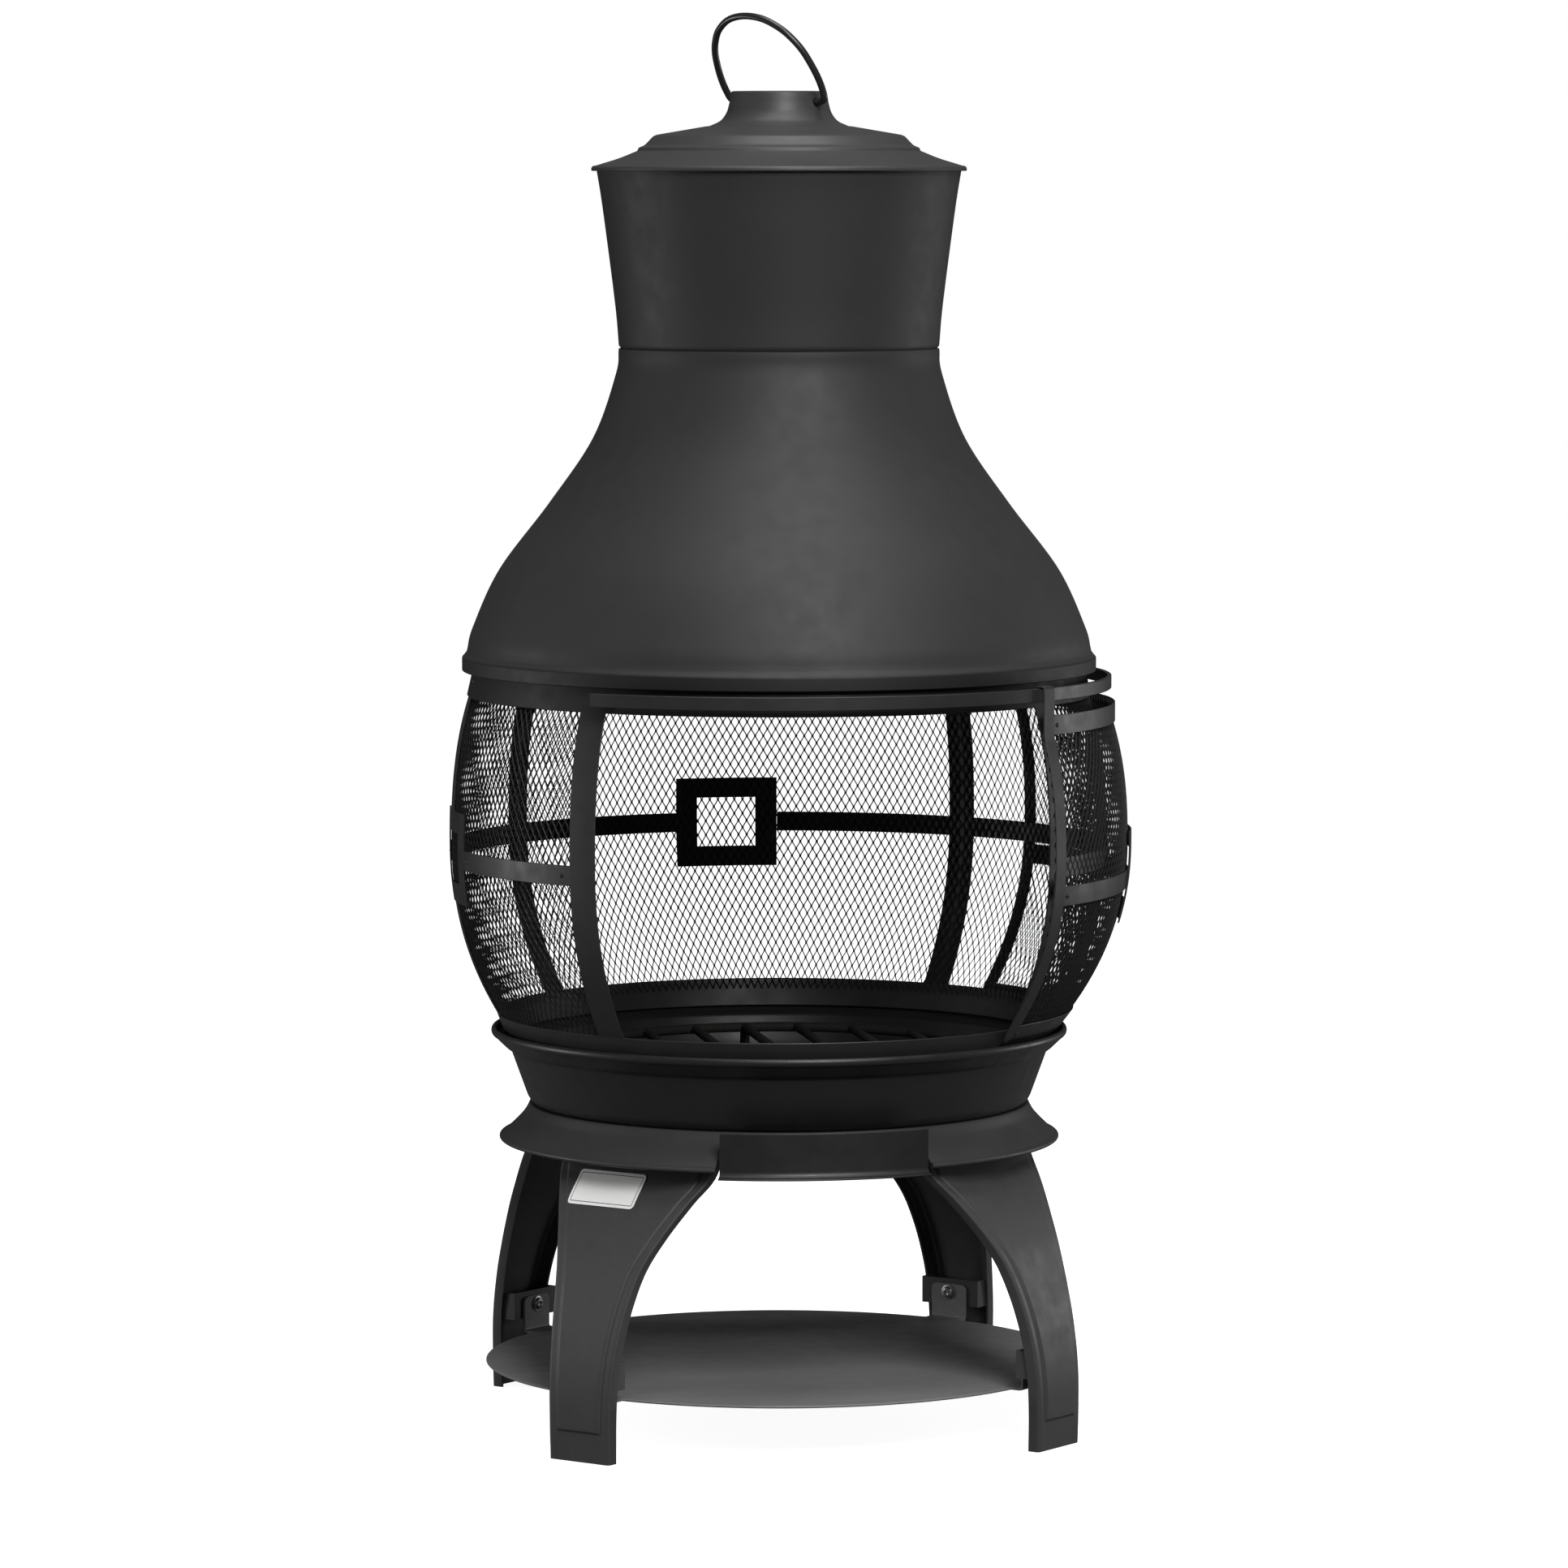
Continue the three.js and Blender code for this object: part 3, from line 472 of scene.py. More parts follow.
def cut(mesh, cutter):
    """The mesh with the cutter's shape taken away, worked out by an exact boolean."""
    first, second = (bpy.data.objects.new("cutting", m) for m in (mesh, cutter))
    for part in (first, second):
        tidy = bmesh.new()
        tidy.from_mesh(part.data)
        bmesh.ops.remove_doubles(tidy, verts=tidy.verts, dist=2e-6)
        bmesh.ops.recalc_face_normals(tidy, faces=tidy.faces)
        tidy.to_mesh(part.data)
        tidy.free()
        bpy.context.scene.collection.objects.link(part)
    step = first.modifiers.new("cut", "BOOLEAN")
    step.operation, step.solver, step.object = "DIFFERENCE", "EXACT", second
    whole = bpy.context.evaluated_depsgraph_get()
    made = bpy.data.meshes.new_from_object(first.evaluated_get(whole))
    made.name = mesh.name
    bpy.data.objects.remove(first)
    bpy.data.objects.remove(second)
    return made


def wedge(low, high, half_angle, near=150.0, far=300.0, middle=0.0):
    """A block round the axis between two heights and two angles, for cutting."""
    angles = np.linspace(middle - half_angle, middle + half_angle, 9)[:, None]
    loop = np.array([(near, low), (far, low), (far, high), (near, high)])
    return skin("wedge", at(angles, loop[None, :, 0] * MM, loop[None, :, 1] * MM))


bead = [(224.2 + 1.9 * np.cos(a), 229.0 + 1.9 * np.sin(a)) for a in np.radians(np.linspace(-150, 75, 12))]
skirt = smooth([(222.2, 231.6), (213, 240.4), (206.5, 247.6), (203, 253.4)])
ring_line = np.vstack([bead, skirt, rounded([(202.4, 255.2), (201.4, 256.6), (185, 256.6)], [1.2])[1:]])
ring_body = cut(turned("stand_skirt", walled(ring_line, 1.5)), wedge(180, 253.6, 22.6))
fit(ring_body, "stand", "bowl_paint", ring_paint, "stand_ring")

# Ash drawer: a curved front with its lower edge folded out as a grip, on a tray that slides under the
# bowl on two runners. Front 1.5 mm, tray 1.2 mm, both painted like the bowl; on the front that dark paint
# is painted shade under the bowl.
front_line = rounded([(229.2, 223.7), (226.2, 223.9), (224, 226.6), (224, 240), (224, 257.8)],
                     [1.5, 2.5, 0])
front_loop = walled(front_line, 1.5)
front_angles = np.linspace(-21.7, 21.7, 49)[:, None]
front_mesh = skin("ash_front", at(front_angles, front_loop[None, :, 0] * MM, front_loop[None, :, 1] * MM))
fit(front_mesh, "ash_drawer", "bowl_paint", bowl_paint, "ash_drawer_front")
for node in ("ash_drawer_tray", "drawer_runner_left", "drawer_runner_right"):
    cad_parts[node].material_slots[0].material = bowl_paint

# Fire bowl: a pressing of 1.5 mm sheet with a rolled rim and a narrow step under it. Seven ash holes go
# through the floor, and four bolts hold it to the stand ring.
bowl_outer = np.vstack([
    rounded([(0.0, 256.9), (199, 256.9), (203, 262), (216.4, 299.0), (217.4, 300.4), (221, 302.6),
             (228.6, 310.0)], [2.5, 3, 0.8, 0.8, 2]),
    [(230.2 + 2.3 * np.cos(a), 315.0 + 3.2 * np.sin(a)) for a in np.radians(np.linspace(-80, 150, 16))]])
bowl_inner = rounded([(228.0, 314.2), (227.0, 311.4), (219.4, 304.0), (215.2, 301.4), (201.2, 263.2),
                      (197.6, 258.4), (0.0, 258.4)], [1, 2, 2, 3, 2.5])
ash_holes = [(0.0, 0.0)] + [(62.0, 60.0 * i) for i in range(6)]


def drill(radius, angle, size, low, high):
    """A round bar that stands at one place round the axis, for cutting."""
    turns = np.radians(np.linspace(0, 360, 24, endpoint=False))
    loop = at(angle, (radius + size * np.cos(turns)) * MM, 0, size * np.sin(turns) * MM)
    return skin("drill", np.stack([loop + [0, 0, low * MM], loop + [0, 0, high * MM]]))


bowl_mesh = turned("bowl_pressing", np.vstack([bowl_outer, bowl_inner]))
bowl_mesh = cut(bowl_mesh, join("drills", [drill(r, a, 8, 240, 270) for r, a in ash_holes]))
fit(bowl_mesh, "stand", "bowl_paint", bowl_paint, "fire_bowl")

# Log grate: a ring and seven bars of 8 mm round steel, welded, loose in the bowl on four feet. Soot has
# left it matt.
grate_paint = painted("grate_soot", (0.012, 0.012, 0.012), (0.030, 0.028, 0.026),
                      (0.62, 0.85), peel=0.8, specular=0.2)


def wire(path, radius, sides=12):
    """Loops of a round wire along a path, each square to it. One side vector is carried along from loop
    to loop."""
    step = np.gradient(path, axis=0)
    step /= np.linalg.norm(step, axis=1)[:, None]
    side = np.cross(step[0], (0.31, 0.17, 0.94))
    sides_at = []
    for direction in step:
        side = side - direction * side.dot(direction)
        side = side / np.linalg.norm(side)
        sides_at.append(side)
    side = np.array(sides_at)
    over = np.cross(step, side)
    turns = np.radians(np.linspace(0, 360, sides, endpoint=False))[None, :, None]
    return path[:, None] + radius * (np.cos(turns) * side[:, None] + np.sin(turns) * over[:, None])


GRATE_RADIUS, GRATE_MIDDLE = 168.0, 296.0
ring_turns = np.radians(np.linspace(0, 360, 16, endpoint=False))
grate_parts = [turned("grate_ring", np.stack([GRATE_RADIUS + 4 * np.cos(ring_turns),
                                              GRATE_MIDDLE + 4 * np.sin(ring_turns)], 1), 144)]
for across in (np.arange(7) - 3) * 43.0:
    reach = np.sqrt(GRATE_RADIUS ** 2 - across ** 2)
    bar = np.stack([np.full(9, across), np.linspace(-reach, reach, 9), np.full(9, GRATE_MIDDLE)], 1)
    grate_parts.append(skin("grate_bar", wire(bar * MM, 3.7 * MM)))
for angle in (0, 90, 180, 270):
    foot = at(angle, np.full(4, GRATE_RADIUS), np.linspace(258.7, GRATE_MIDDLE, 4))
    grate_parts.append(skin("grate_foot", wire(foot * MM, 4 * MM)))
fit(join("grate_bars", grate_parts), "log_grate", "bowl_paint", grate_paint, "log_grate")

# Drum rings: two hoops of 1.2 mm strap that draw in towards the hood and the bowl. The ribs and screens
# are welded to them. Satin black paint: the straps and the bottom hoop a shade lighter than the screens.
# The top hoop has a darker copy of that paint, as painted shade under the hood's skirt.
strap_paint = painted("strap_paint", (0.017, 0.017, 0.0175), (0.026, 0.026, 0.027), (0.40, 0.54), peel=0.35)


WIDEST, DRUM_RADIUS = 470.0, 265.5


def drum(z):
    """The drum's outer radius: 265.5 mm at the equator, less a drop that grows as a power of the height
    from it."""
    above, below = np.maximum(z - WIDEST, 0) / 116, np.maximum(WIDEST - z, 0) / 138
    return DRUM_RADIUS - 14.5 * above ** 2.54 - 36.5 * below ** 2.24


STRAP, TOP_RING_FOOT, BOTTOM_RING_TOP = 1.2, 586.0, 330.0
top_radius, bottom_radius = drum(TOP_RING_FOOT), drum(BOTTOM_RING_TOP)
# A darker copy of the strap paint for the top hoop: painted shade under the hood's skirt.
top_hoop_shaded_paint = painted("top_hoop_shaded_paint", (0.009, 0.009, 0.0092), (0.014, 0.014, 0.0142),
                     (0.46, 0.6), peel=0.35, specular=0.3)
top_hoop = [(top_radius, TOP_RING_FOOT + 0.4), (top_radius - 3, 599.6), (top_radius - 6, 613.6)]
bottom_hoop = [(bottom_radius - 8, 308.4), (bottom_radius - 4, 319), (bottom_radius, BOTTOM_RING_TOP - 0.4)]
fit(turned("top_ring_hoop", walled(top_hoop, STRAP)),
    "stand", "drum_paint", top_hoop_shaded_paint, "drum_top_ring")
fit(turned("bottom_ring_hoop", walled(bottom_hoop, STRAP)),
    "stand", "drum_paint", strap_paint, "drum_bottom_ring")


# Ribs, side strips, bands and handle plates: flat strap rolled to the drum's curve and welded edge to
# edge between the rings. The front right rib is narrower, behind the door's upright. All 1.2 mm thick.
def edge_loop(width, thick=STRAP, edge=0.35, pieces=4):
    """The section of a strap as (across, depth): outer face, chamfered edge, inner face, chamfered
    edge."""
    face = np.linspace(-width / 2 + edge, width / 2 - edge, pieces + 1)
    across = np.concatenate([face, [width / 2] * 2, face[::-1], [-width / 2] * 2])
    depth = np.concatenate([0 * face, [edge, thick - edge], 0 * face + thick, [thick - edge, edge]])
    return across, depth


def upright(name, curve, angle, width, low, high, offset=0.0):
    """A strap up a barrel at one angle, bent round it across its width."""
    across, depth = edge_loop(width)
    z = np.linspace(low, high, 49)[:, None]
    radius = curve(z) + offset
    return skin(name, at(angle + np.degrees(across / radius), (radius - depth) * MM, z * MM))


def band(name, curve, start, stop, low, high, offset=0.0):
    """A strap round a barrel between two angles, with the barrel's slope across its width."""
    across, depth = edge_loop(high - low)
    angles = np.linspace(start, stop, 8 + int(abs(stop - start)))[:, None]
    z = (low + high) / 2 + across[None]
    return skin(name, at(angles, (curve(z) + offset - depth) * MM, z * MM))


def plate(name, curve, angle, middle, half=9.3, tall=74.0, window=5.4, window_tall=41.0):
    """A plate rolled to a barrel, with a window: a grid of angle and height in two layers, less the
    window's cells, and walls wherever a cell has no neighbour."""
    def lines(reach, opening, outer, inner):
        """Grid lines from edge to edge, with lines on both edges of the window."""
        beside = np.linspace(opening, reach, outer)
        return np.concatenate([-beside[::-1], np.linspace(-opening, opening, inner)[1:-1], beside])

    angles = lines(half, window, 5, 9)
    rise = lines(tall, window_tall, 6, 11) / 2
    a, z = np.meshgrid(angle + angles, middle + rise)
    points = np.stack([at(a, (curve(z) - depth) * MM, z * MM) for depth in (0.0, STRAP)])
    index = np.arange(a.size * 2).reshape(2, *a.shape)
    centre_a, centre_z = (angles[1:] + angles[:-1]) / 2, (rise[1:] + rise[:-1]) / 2
    kept = ~((np.abs(centre_z)[:, None] < window_tall / 2) & (np.abs(centre_a)[None] < window))
    faces = []
    for sheet in index:
        faces += cells_of(sheet)[kept].tolist()
    edged = np.pad(kept, 1)
    for rows, columns, i, j in ((-1, 0, 0, 1), (1, 0, 3, 2), (0, -1, 0, 3), (0, 1, 1, 2)):
        bare = kept & ~np.roll(edged, (-rows, -columns), (0, 1))[1:-1, 1:-1]
        ends = [cells_of(sheet)[bare] for sheet in index]
        faces += np.stack([ends[0][:, i], ends[0][:, j], ends[1][:, j], ends[1][:, i]], -1).tolist()
    mesh = bpy.data.meshes.new(name)
    mesh.from_pydata(points.reshape(-1, 3).tolist(), [], faces)
    return mesh


RIB_FOOT, RIB_TOP, EQUATOR, BAND_HALF = 329.0, 587.0, 459.0, 8.0
for name, angle, width in (("rib_front_left", -45, 24.5), ("rib_front_right", 45, 14),
                           ("rib_rear_right", 135, 24.5), ("rib_rear_left", -135, 24.5)):
    fit(upright(name + "_strap", drum, angle, width, RIB_FOOT, RIB_TOP, 0.15),
        "stand", "drum_paint", strap_paint, name)
for side, angle, gap in (("left", -90, 37.0), ("right", 90, BAND_HALF)):
    for level, low, high in (("lower", RIB_FOOT, EQUATOR - gap), ("upper", EQUATOR + gap, RIB_TOP)):
        name = "side_strip_%s_%s" % (side, level)
        fit(upright(name + "_strap", drum, angle, 14, low, high),
            "stand", "drum_paint", strap_paint, name)
for name, angle in (("handle_plate_left", -90), ("handle_plate_rear", 180)):
    fit(plate(name + "_frame", drum, angle, EQUATOR), "stand", "drum_paint", strap_paint, name)
for name, start, stop in (("band_left_front", -80.65, -47.6), ("band_left_rear", -132.4, -99.35),
                          ("band_rear_left", 189.35, 222.4), ("band_rear_right", 137.6, 170.65),
                          ("band_right", 46.5, 132.4)):
    fit(band(name + "_strap", drum, start, stop, EQUATOR - BAND_HALF, EQUATOR + BAND_HALF),
        "stand", "drum_paint", strap_paint, name)


# Screens: expanded steel mesh, slit and stretched so that its diamonds stand 7 mm wide and 11.8 mm tall.
# The strands are cut at a slant, so they close up when seen from the side. Each panel is welded behind
# the ribs and rings.
screen_paint = painted("screen_paint", (0.010, 0.010, 0.010), (0.018, 0.018, 0.018),
                       (0.5, 0.65), peel=0.2, specular=0.35)


def expanded(name, curve, start, stop, low, high, offset, cell=7.0, tall=11.8, strand=(1.0, 0.6),
             slant=-35.0, bond=0.8):
    """Strands that zigzag up the panel side by side, half a cell apart: each swings a quarter of a cell
    either way as a triangle wave of the height, straight for a moment where it meets the next, and
    neighbours swing opposite ways. A strand's section is a small rectangle turned by the slant."""
    widest = curve(np.array(WIDEST)) + offset
    count = int(round(np.radians(stop - start) * widest / (cell / 2)))
    pitch = (stop - start) / count
    meets = int(round(2 * (high - low) / tall)) + 1
    level = np.linspace(low, high, meets)
    z = np.clip(np.stack([level - bond, level + bond], 1).ravel(), low, high)
    swing = np.repeat((-1.0) ** np.arange(meets), 2) * (pitch / 2 - np.degrees(0.4 / widest))
    lines = start + pitch * (np.arange(count) + 0.5)
    flip = (-1.0) ** np.arange(count)
    angle = lines[:, None] + flip[:, None] * swing[None]
    turn = np.radians(slant)
    corner_u = np.array([-1, 1, 1, -1]) * strand[0] / 2
    corner_d = np.array([-1, -1, 1, 1]) * strand[1] / 2
    across = corner_u * np.cos(turn) - corner_d * np.sin(turn)
    depth = corner_u * np.sin(turn) + corner_d * np.cos(turn)
    radius = (curve(z) + offset)[None, :, None] - depth
    a = angle[:, :, None] + np.degrees(across / widest)
    return skin(name, at(a, radius * MM, np.broadcast_to(z[None, :, None] * MM, a.shape)))


for name, middle in (("screen_left", -90), ("screen_rear", 180), ("screen_right", 90)):
    fit(expanded(name + "_mesh", drum, middle - 44.8, middle + 44.8, 323.0, 591.0, -2.1),
        "stand", "screen_paint", screen_paint, name, crease=20)


# Welds and rivets of the drum: low domes 4 mm across where the bands meet the ribs, and one on the top
# ring over each side strip. Painted over with the straps.
def domes(name, places, radius=2.1, rise=0.9):
    """Low domes on a surface: each is a cap of rings whose height falls off as the square of the
    distance, sunk a little into what it sits on."""
    turns = np.linspace(0, 360, 12, endpoint=False)
    share = np.array([1.0, 1.0, 0.8, 0.5, 0.0])
    lift = np.array([-0.5, 0.1, 0.45, 0.8, 1.0]) * rise
    flat = np.zeros((len(places), 12, len(share), 3))
    for k, (angle, face, z) in enumerate(places):
        side = radius * share[None] * np.cos(np.radians(turns))[:, None]
        up = radius * share[None] * np.sin(np.radians(turns))[:, None]
        flat[k] = at(angle, (face + lift)[None] * MM + 0 * side, (z + up) * MM, side * MM)
    mesh = skin(name, flat, ring=True)
    return mesh


band_ends = (-49.4, -78.8, -101.2, -130.6, 139.4, 168.8, 191.2, 220.6, 48.2, 130.6)
drum_domes = [(angle, drum(EQUATOR), EQUATOR) for angle in band_ends]
drum_domes += [(angle, top_radius - 3.0, 599.0) for angle in (-90.0, 90.0, 180.0)]
fit(domes("drum_weld_dots", drum_domes), "stand", "drum_paint", strap_paint)

# Door rail: a hoop of 3.4 by 10.4 mm bar round the right half of the drum, cut square at both ends and
# held off the top ring by three short brackets. The door's hooks ride on it.
rail_turns = np.linspace(-43, 136, 181)[:, None]
rail_loop = np.array([(264.4, 592), (267, 592), (267.4, 592.4), (267.4, 602), (267, 602.4),
                      (264.4, 602.4), (264, 602), (264, 592.4)])[None]
fit(skin("rail_bar", at(rail_turns, rail_loop[..., 0] * MM, rail_loop[..., 1] * MM)),
    "stand", "drum_paint", strap_paint, "door_rail")
for number in (1, 2, 3):
    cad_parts["rail_bracket_%d" % number].material_slots[0].material = strap_paint

# Sliding door: a frame of two uprights and three bands with expanded mesh behind it, rolled to a wider
# barrel so that it passes outside the drum. Each upright's top is bent over the rail as a hook, and its
# foot is cut to a point.
DOOR_MIDDLE, DOOR_HALF, SHOULDER = 82.0, 40.65, 565.0
DOOR_RADIUS, HOOK_TOP, HOOK_BACK, HOOK_TIP = 284.0, 604.3, 262.1, 597.3
DOOR_FOOT, POINT, BEHIND = 320.0, 7.0, 1.5


def door(z):
    """The door's outer radius: 284 mm at the equator, less a drop that grows as a power of the height
    from it, and straight above the shoulder."""
    z = np.minimum(z, SHOULDER)
    above, below = np.maximum(z - WIDEST, 0) / 98, np.maximum(WIDEST - z, 0) / 138
    return DOOR_RADIUS - 13 * above ** 2.4 - 46 * below ** 2.2


def hooked(name, angle, width=13.0):
    """The upright's strap along its line: up the barrel, straight to the hook, over the rail and down
    behind it. The foot narrows to a point over its last 7 mm."""
    low = np.linspace(DOOR_FOOT, SHOULDER, 45)
    face = door(SHOULDER)
    hook = rounded([(face, SHOULDER), (face, HOOK_TOP), (HOOK_BACK, HOOK_TOP), (HOOK_BACK, HOOK_TIP)],
                   [3.0, 1.6])
    line = np.vstack([np.stack([door(low), low], 1), hook[1:]])
    step = np.gradient(line, axis=0)
    step /= np.linalg.norm(step, axis=1)[:, None]
    wide = width * np.clip(0.35 + 0.65 * (line[:, 1] - DOOR_FOOT) / POINT, 0, 1)
    out = at(angle, step[:, 1], -step[:, 0])
    sideways = at(angle, 0 * wide, 0 * wide, 1.0)
    path = at(angle, line[:, 0] * MM, line[:, 1] * MM)
    return skin(name, strap_loops(out, sideways, path, wide * MM, STRAP * MM, 0.35 * MM))


door_front, door_rear = DOOR_MIDDLE - DOOR_HALF, DOOR_MIDDLE + DOOR_HALF
for end, angle in (("front", door_front), ("rear", door_rear)):
    fit(hooked("door_upright_%s_hooked" % end, angle),
        "door", "drum_paint", strap_paint, "door_upright_" + end)
door_bands = {"top": (565.3, 581.0), "middle": (431.0, 447.0), "bottom": (320.0, 334.0)}
for place, (low, high) in door_bands.items():
    fit(band("door_band_%s_strap" % place, door, door_front - 1, door_rear + 1, low, high, -BEHIND),
        "door", "drum_paint", strap_paint, "door_band_" + place)
fit(expanded("door_mesh", door, door_front - 0.8, door_rear + 0.8, 321.0, 580.0, -3.6),
    "door", "screen_paint", screen_paint, "door_screen", crease=20)
fit(plate("door_handle_frame", door, DOOR_MIDDLE, 441.0),
    "door", "drum_paint", strap_paint, "handle_plate_door")
door_domes = [(angle, door((low + high) / 2) - BEHIND, (low + high) / 2)
              for low, high in door_bands.values() for angle in (door_front + 2.6, door_rear - 2.6)]
fit(domes("door_weld_dots", door_domes), "door", "drum_paint", strap_paint)

# Hood: spun from 1.2 mm sheet. A straight skirt band 11 mm deep sits over the drum's top ring, and the
# side draws in through a long S to the neck. Satin black heat paint with a soft sheen, and painted shade
# over the skirt band.
SPUN, SKIRT_TOP = 1.2, 617.5
hood_paint = painted("hood_paint", (0.023, 0.023, 0.024), (0.028, 0.028, 0.029),
                     (0.56, 0.64), peel=0.22, specular=0.36)


def paint_skirt_shade(finish, height):
    """Painted shade on the hood's skirt band: below the height the paint is multiplied down to a third."""
    nodes, link = finish.node_tree.nodes, finish.node_tree.links.new
    place, split = nodes.new("ShaderNodeTexCoord"), nodes.new("ShaderNodeSeparateXYZ")
    below, skirt_shade = nodes.new("ShaderNodeMapRange"), nodes.new("ShaderNodeMix")
    skirt_shade.data_type, skirt_shade.blend_type = "RGBA", "MULTIPLY"
    skirt_shade.inputs["B"].default_value = (0.33, 0.33, 0.33, 1)
    below.inputs["From Min"].default_value = height + MM
    below.inputs["From Max"].default_value = height - MM
    link(place.outputs["Object"], split.inputs["Vector"])
    link(split.outputs["Z"], below.inputs["Value"])
    link(below.outputs["Result"], skirt_shade.inputs["Factor"])
    base = nodes["Principled BSDF"].inputs["Base Color"]
    link(base.links[0].from_socket, skirt_shade.inputs["A"])
    link(skirt_shade.outputs["Result"], base)


hood_line = np.vstack([rounded([(255, 606.4), (255, 616.5), (253.4, 618), (251.2, 621)], [1.0, 1.2]),
                       smooth([(251, 622), (246, 641), (224.6, 687), (184.6, 740), (149.4, 792), (131, 843),
                               (128.6, 863.4)], 16)])
# Painted shade over the hood's skirt band.
paint_skirt_shade(hood_paint, SKIRT_TOP * MM)
fit(turned("hood_spinning", walled(hood_line, SPUN), 320),
    "stand", "hood_paint", hood_paint, "hood", crease=40)

# Chimney: a flared tube of 1.2 mm sheet that stands in the hood's neck, tucked 20 mm down inside it. A
# fine seam shows where the two meet.
chimney_line = np.vstack([rounded([(126.8, 842), (126.8, 864.2), (128.5, 866)], [0.8]),
                          smooth([(128.5, 866), (131.5, 900), (141, 974), (146.3, 1008)], 14)])
fit(turned("chimney_tube", walled(chimney_line, SPUN), 320),
    "stand", "hood_paint", hood_paint, "chimney", crease=40)

# Lid: one spinning of 1.2 mm sheet. From the thin turned-down rim it climbs a shallow dish, steps up to
# a flat crown, and rises to a hollow knob with two holes for the bail.
LID_PIVOT, BAIL_ANGLE, BAIL_LEAN = 1060.0, 38.0, 31.0
lid_line = np.vstack([
    rounded([(150.3, 1006.0), (150.3, 1007.8), (149.2, 1009.4), (146.6, 1009.8)], [0.8, 0.8]),
    smooth([(144, 1010.6), (128, 1015.6), (114.8, 1020.9)], 6),
    rounded([(113.4, 1021.5), (112.4, 1023.9), (107.5, 1026.0), (100.6, 1033.2), (97.4, 1034.4),
             (60, 1039.6), (59.1, 1040.9)], [0.5, 1.8, 1.2, 0.3]),
    smooth([(55.5, 1041.3), (47, 1045.4), (42, 1052), (39.6, 1060)], 6),
    rounded([(39.2, 1063), (38.2, 1069), (0, 1069)], [1.6])])
inner_line = walled(lid_line, SPUN)[len(lid_line) + 2:-1]
lid_mesh = turned("lid_spinning", np.vstack([lid_line, (0, 1067.8), inner_line, (149.7, 1005.4)]), 320)
lid_paint = painted("lid_paint", (0.036, 0.036, 0.037), (0.044, 0.044, 0.045),
                    (0.44, 0.52), peel=0.22, specular=0.42)
pin_turns = np.radians(np.linspace(0, 360, 20, endpoint=False))
pin_up, pin_across = 3.35 * np.sin(pin_turns), 3.35 * np.cos(pin_turns)
pin = np.stack([at(BAIL_ANGLE, reach * MM, (LID_PIVOT + pin_up) * MM, pin_across * MM)
                for reach in (-60.0, 60.0)])
fit(cut(lid_mesh, skin("pin", pin)), "lid", "hood_paint", lid_paint, "lid", crease=28)

# Bail: one length of 5.5 mm wire bent to a loop, its ends turned in through the knob's holes. It stands
# by friction, leaning to the front left.
bail_paint = painted("bail_paint", (0.014, 0.014, 0.014), (0.022, 0.022, 0.022),
                     (0.26, 0.38), peel=0.1, specular=0.5)
half_bail = np.array([(33, 0), (44, 0), (50, 3.5), (51.8, 10), (52.3, 20), (51, 32), (47.6, 46), (42, 57),
                      (33, 67.5), (18, 76.5), (0, 79.5)], float)
bail_line = smooth(np.vstack([half_bail, (half_bail * [-1, 1])[-2::-1]]), 8)
lean = np.radians(BAIL_LEAN)
bail_path = at(BAIL_ANGLE, bail_line[:, 0] * MM, (LID_PIVOT + bail_line[:, 1] * np.cos(lean)) * MM,
               -bail_line[:, 1] * np.sin(lean) * MM)
fit(skin("bail_wire", wire(bail_path, 2.75 * MM, 16)),
    "lid_handle", "hood_paint", bail_paint, "lid_handle", crease=50)

# Studio: a floor and surroundings that look white but light little, a large soft box high over the camera,
# one overhead, a faint one in front and two low ones at the sides. The camera has a long lens, and stands
# 5.8 m off, 1.01 m up and 10 degrees round to the left.
def light(name, place, target, size, power):
    lamp = bpy.data.lights.new(name, "AREA")
    lamp.shape, lamp.size, lamp.size_y, lamp.energy = "RECTANGLE", size[0], size[1], power
    made = bpy.data.objects.new(name, lamp)
    made.location = place
    made.rotation_euler = (Vector(target) - Vector(place)).to_track_quat("-Z", "Y").to_euler()
    bpy.context.scene.collection.objects.link(made)


view_from = -9.75
aside, eye = 0.0040, at(view_from, 5.80, 1.010)
aim = at(view_from, 0.0, 0.513, aside)
camera = bpy.data.objects.new("camera", bpy.data.cameras.new("camera"))
camera.data.lens, camera.data.sensor_width = 165.8, 36
camera.data.clip_end = 100
camera.location = eye
camera.rotation_euler = (Vector(aim) - Vector(eye)).to_track_quat("-Z", "Y").to_euler()
bpy.context.scene.collection.objects.link(camera)
bpy.context.scene.camera = camera

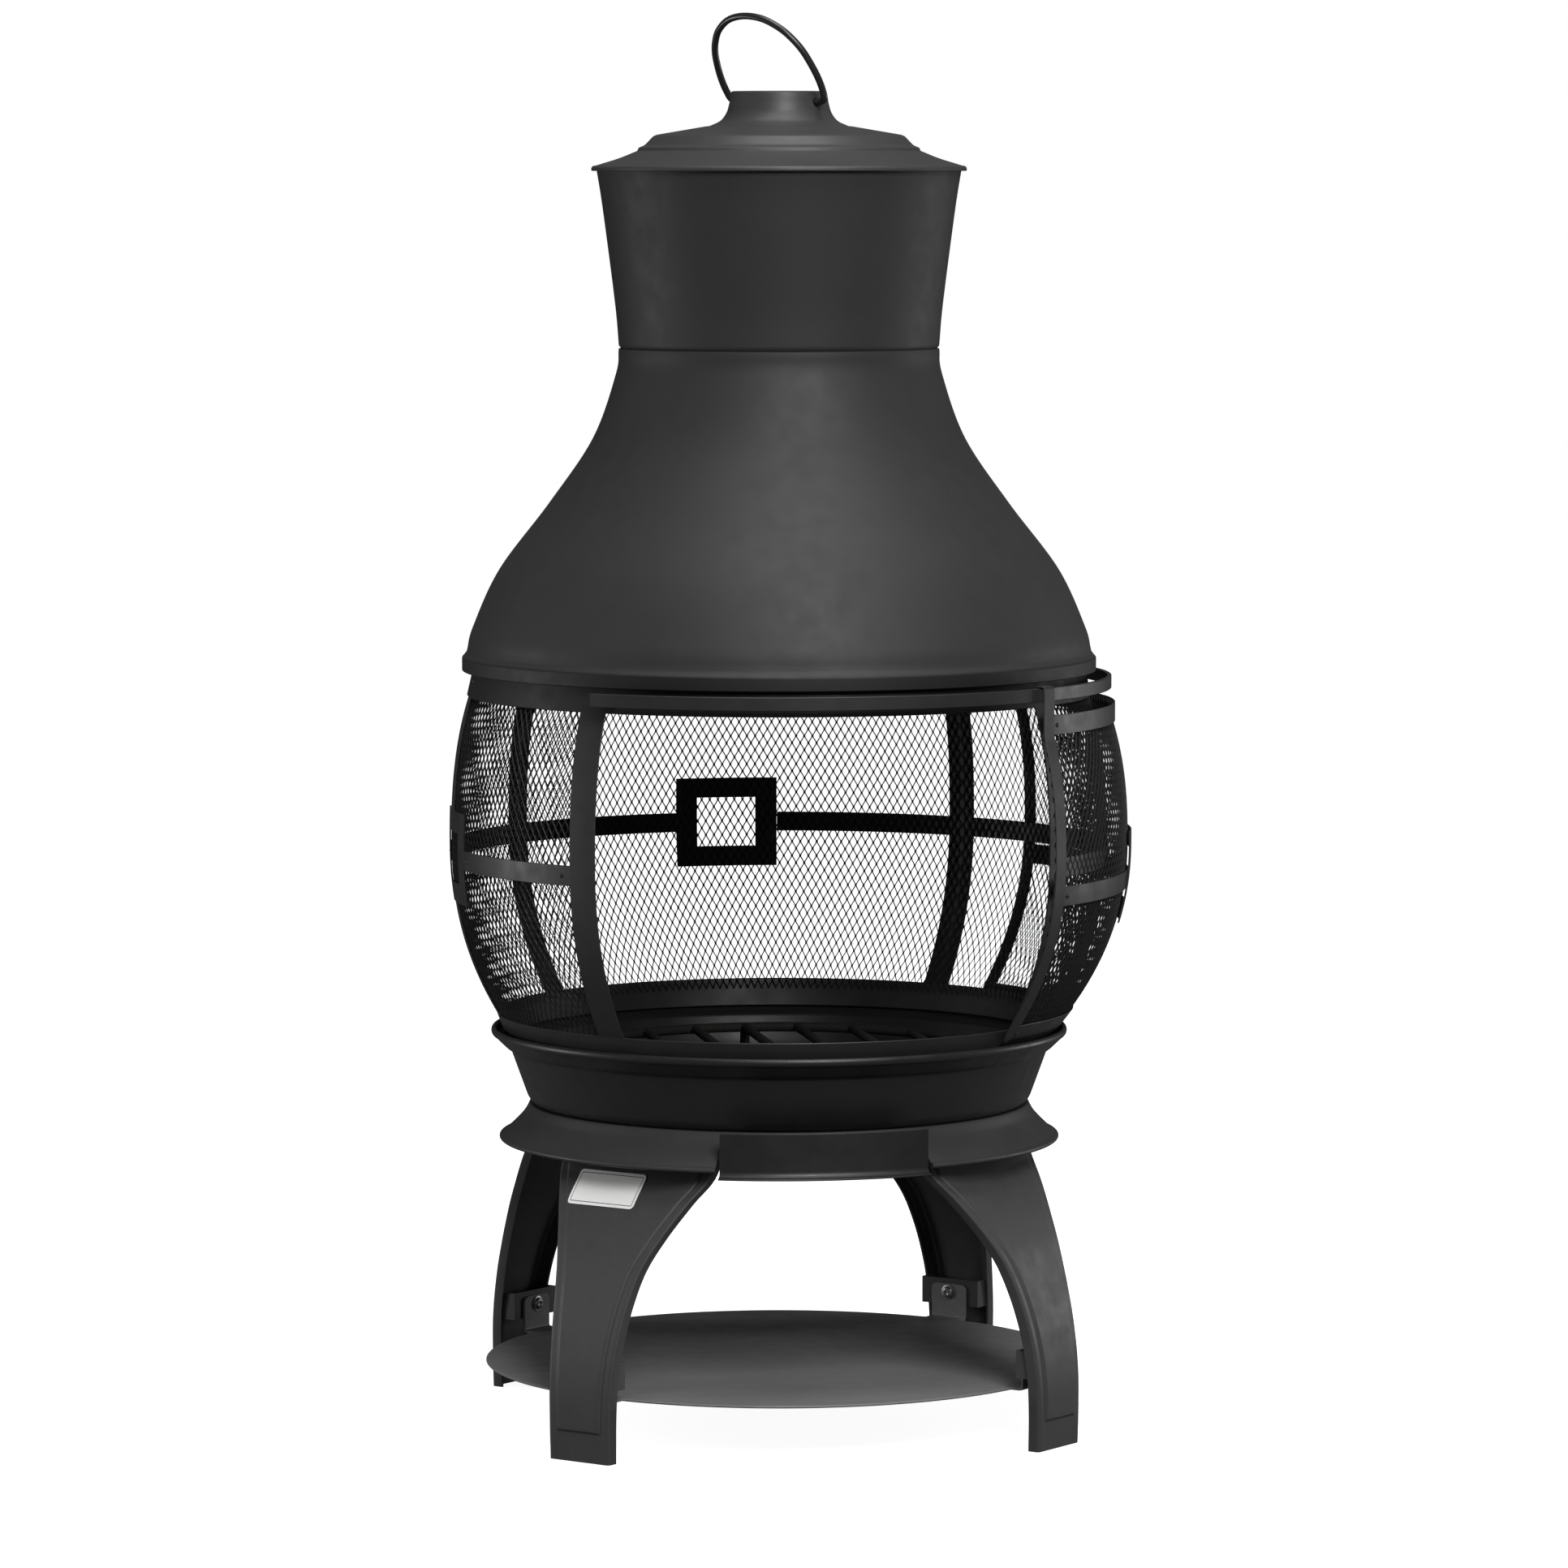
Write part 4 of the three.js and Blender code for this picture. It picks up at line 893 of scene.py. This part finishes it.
light("key_box", at(7, 3.3, 2.7), (0, 0, 0.5), (1.5, 1.7), 120)
light("top_box", (0.1, -0.5, 3.2), (0, 0, 0.6), (1.6, 1.6), 48)
light("front_box", at(0, 4.5, 2.2), (0, 0, 0.8), (2.4, 1.6), 6)
light("left_box", at(-104, 2.2, 0.45), (0, 0, 0.3), (0.6, 0.8), 12)
light("right_box", at(104, 2.2, 0.45), (0, 0, 0.3), (0.6, 0.8), 8)

world = bpy.data.worlds.new("studio")
bpy.context.scene.world = world
world.use_nodes = True
sky, link = world.node_tree.nodes, world.node_tree.links.new
seen, lit = sky.new("ShaderNodeBackground"), sky.new("ShaderNodeBackground")
both, path = sky.new("ShaderNodeMixShader"), sky.new("ShaderNodeLightPath")
seen.inputs["Strength"].default_value, lit.inputs["Strength"].default_value = 1.0, 0.07
for shade in (seen, lit):
    shade.inputs["Color"].default_value = (1, 1, 1, 1)
link(path.outputs["Is Camera Ray"], both.inputs["Fac"])
link(lit.outputs["Background"], both.inputs[1])
link(seen.outputs["Background"], both.inputs[2])
link(both.outputs["Shader"], sky["World Output"].inputs["Surface"])
bpy.context.scene.view_settings.view_transform = "Standard"

floor_mesh = bpy.data.meshes.new("floor")
floor_mesh.from_pydata([(-20, -20, 0), (20, -20, 0), (20, 20, 0), (-20, 20, 0)], [], [(0, 1, 2, 3)])
floor = bpy.data.objects.new("floor", floor_mesh)
bpy.context.scene.collection.objects.link(floor)
floor.location.z = -0.0005
pale = bpy.data.materials.new("pale_floor")
pale.use_nodes = True
paper, link = pale.node_tree.nodes, pale.node_tree.links.new
bright, dull = paper["Principled BSDF"], paper.new("ShaderNodeBsdfDiffuse")
paper_mix, ray = paper.new("ShaderNodeMixShader"), paper.new("ShaderNodeLightPath")
bright.inputs["Base Color"].default_value = (0.9, 0.9, 0.9, 1)
bright.inputs["Roughness"].default_value = 0.9
bright.inputs["Emission Color"].default_value = (1, 1, 1, 1)
bright.inputs["Emission Strength"].default_value = 0.93
dull.inputs["Color"].default_value = (0.16, 0.16, 0.16, 1)
link(ray.outputs["Is Camera Ray"], paper_mix.inputs["Fac"])
link(dull.outputs["BSDF"], paper_mix.inputs[1])
link(bright.outputs["BSDF"], paper_mix.inputs[2])
link(paper_mix.outputs["Shader"], paper["Material Output"].inputs["Surface"])
floor_mesh.materials.append(pale)
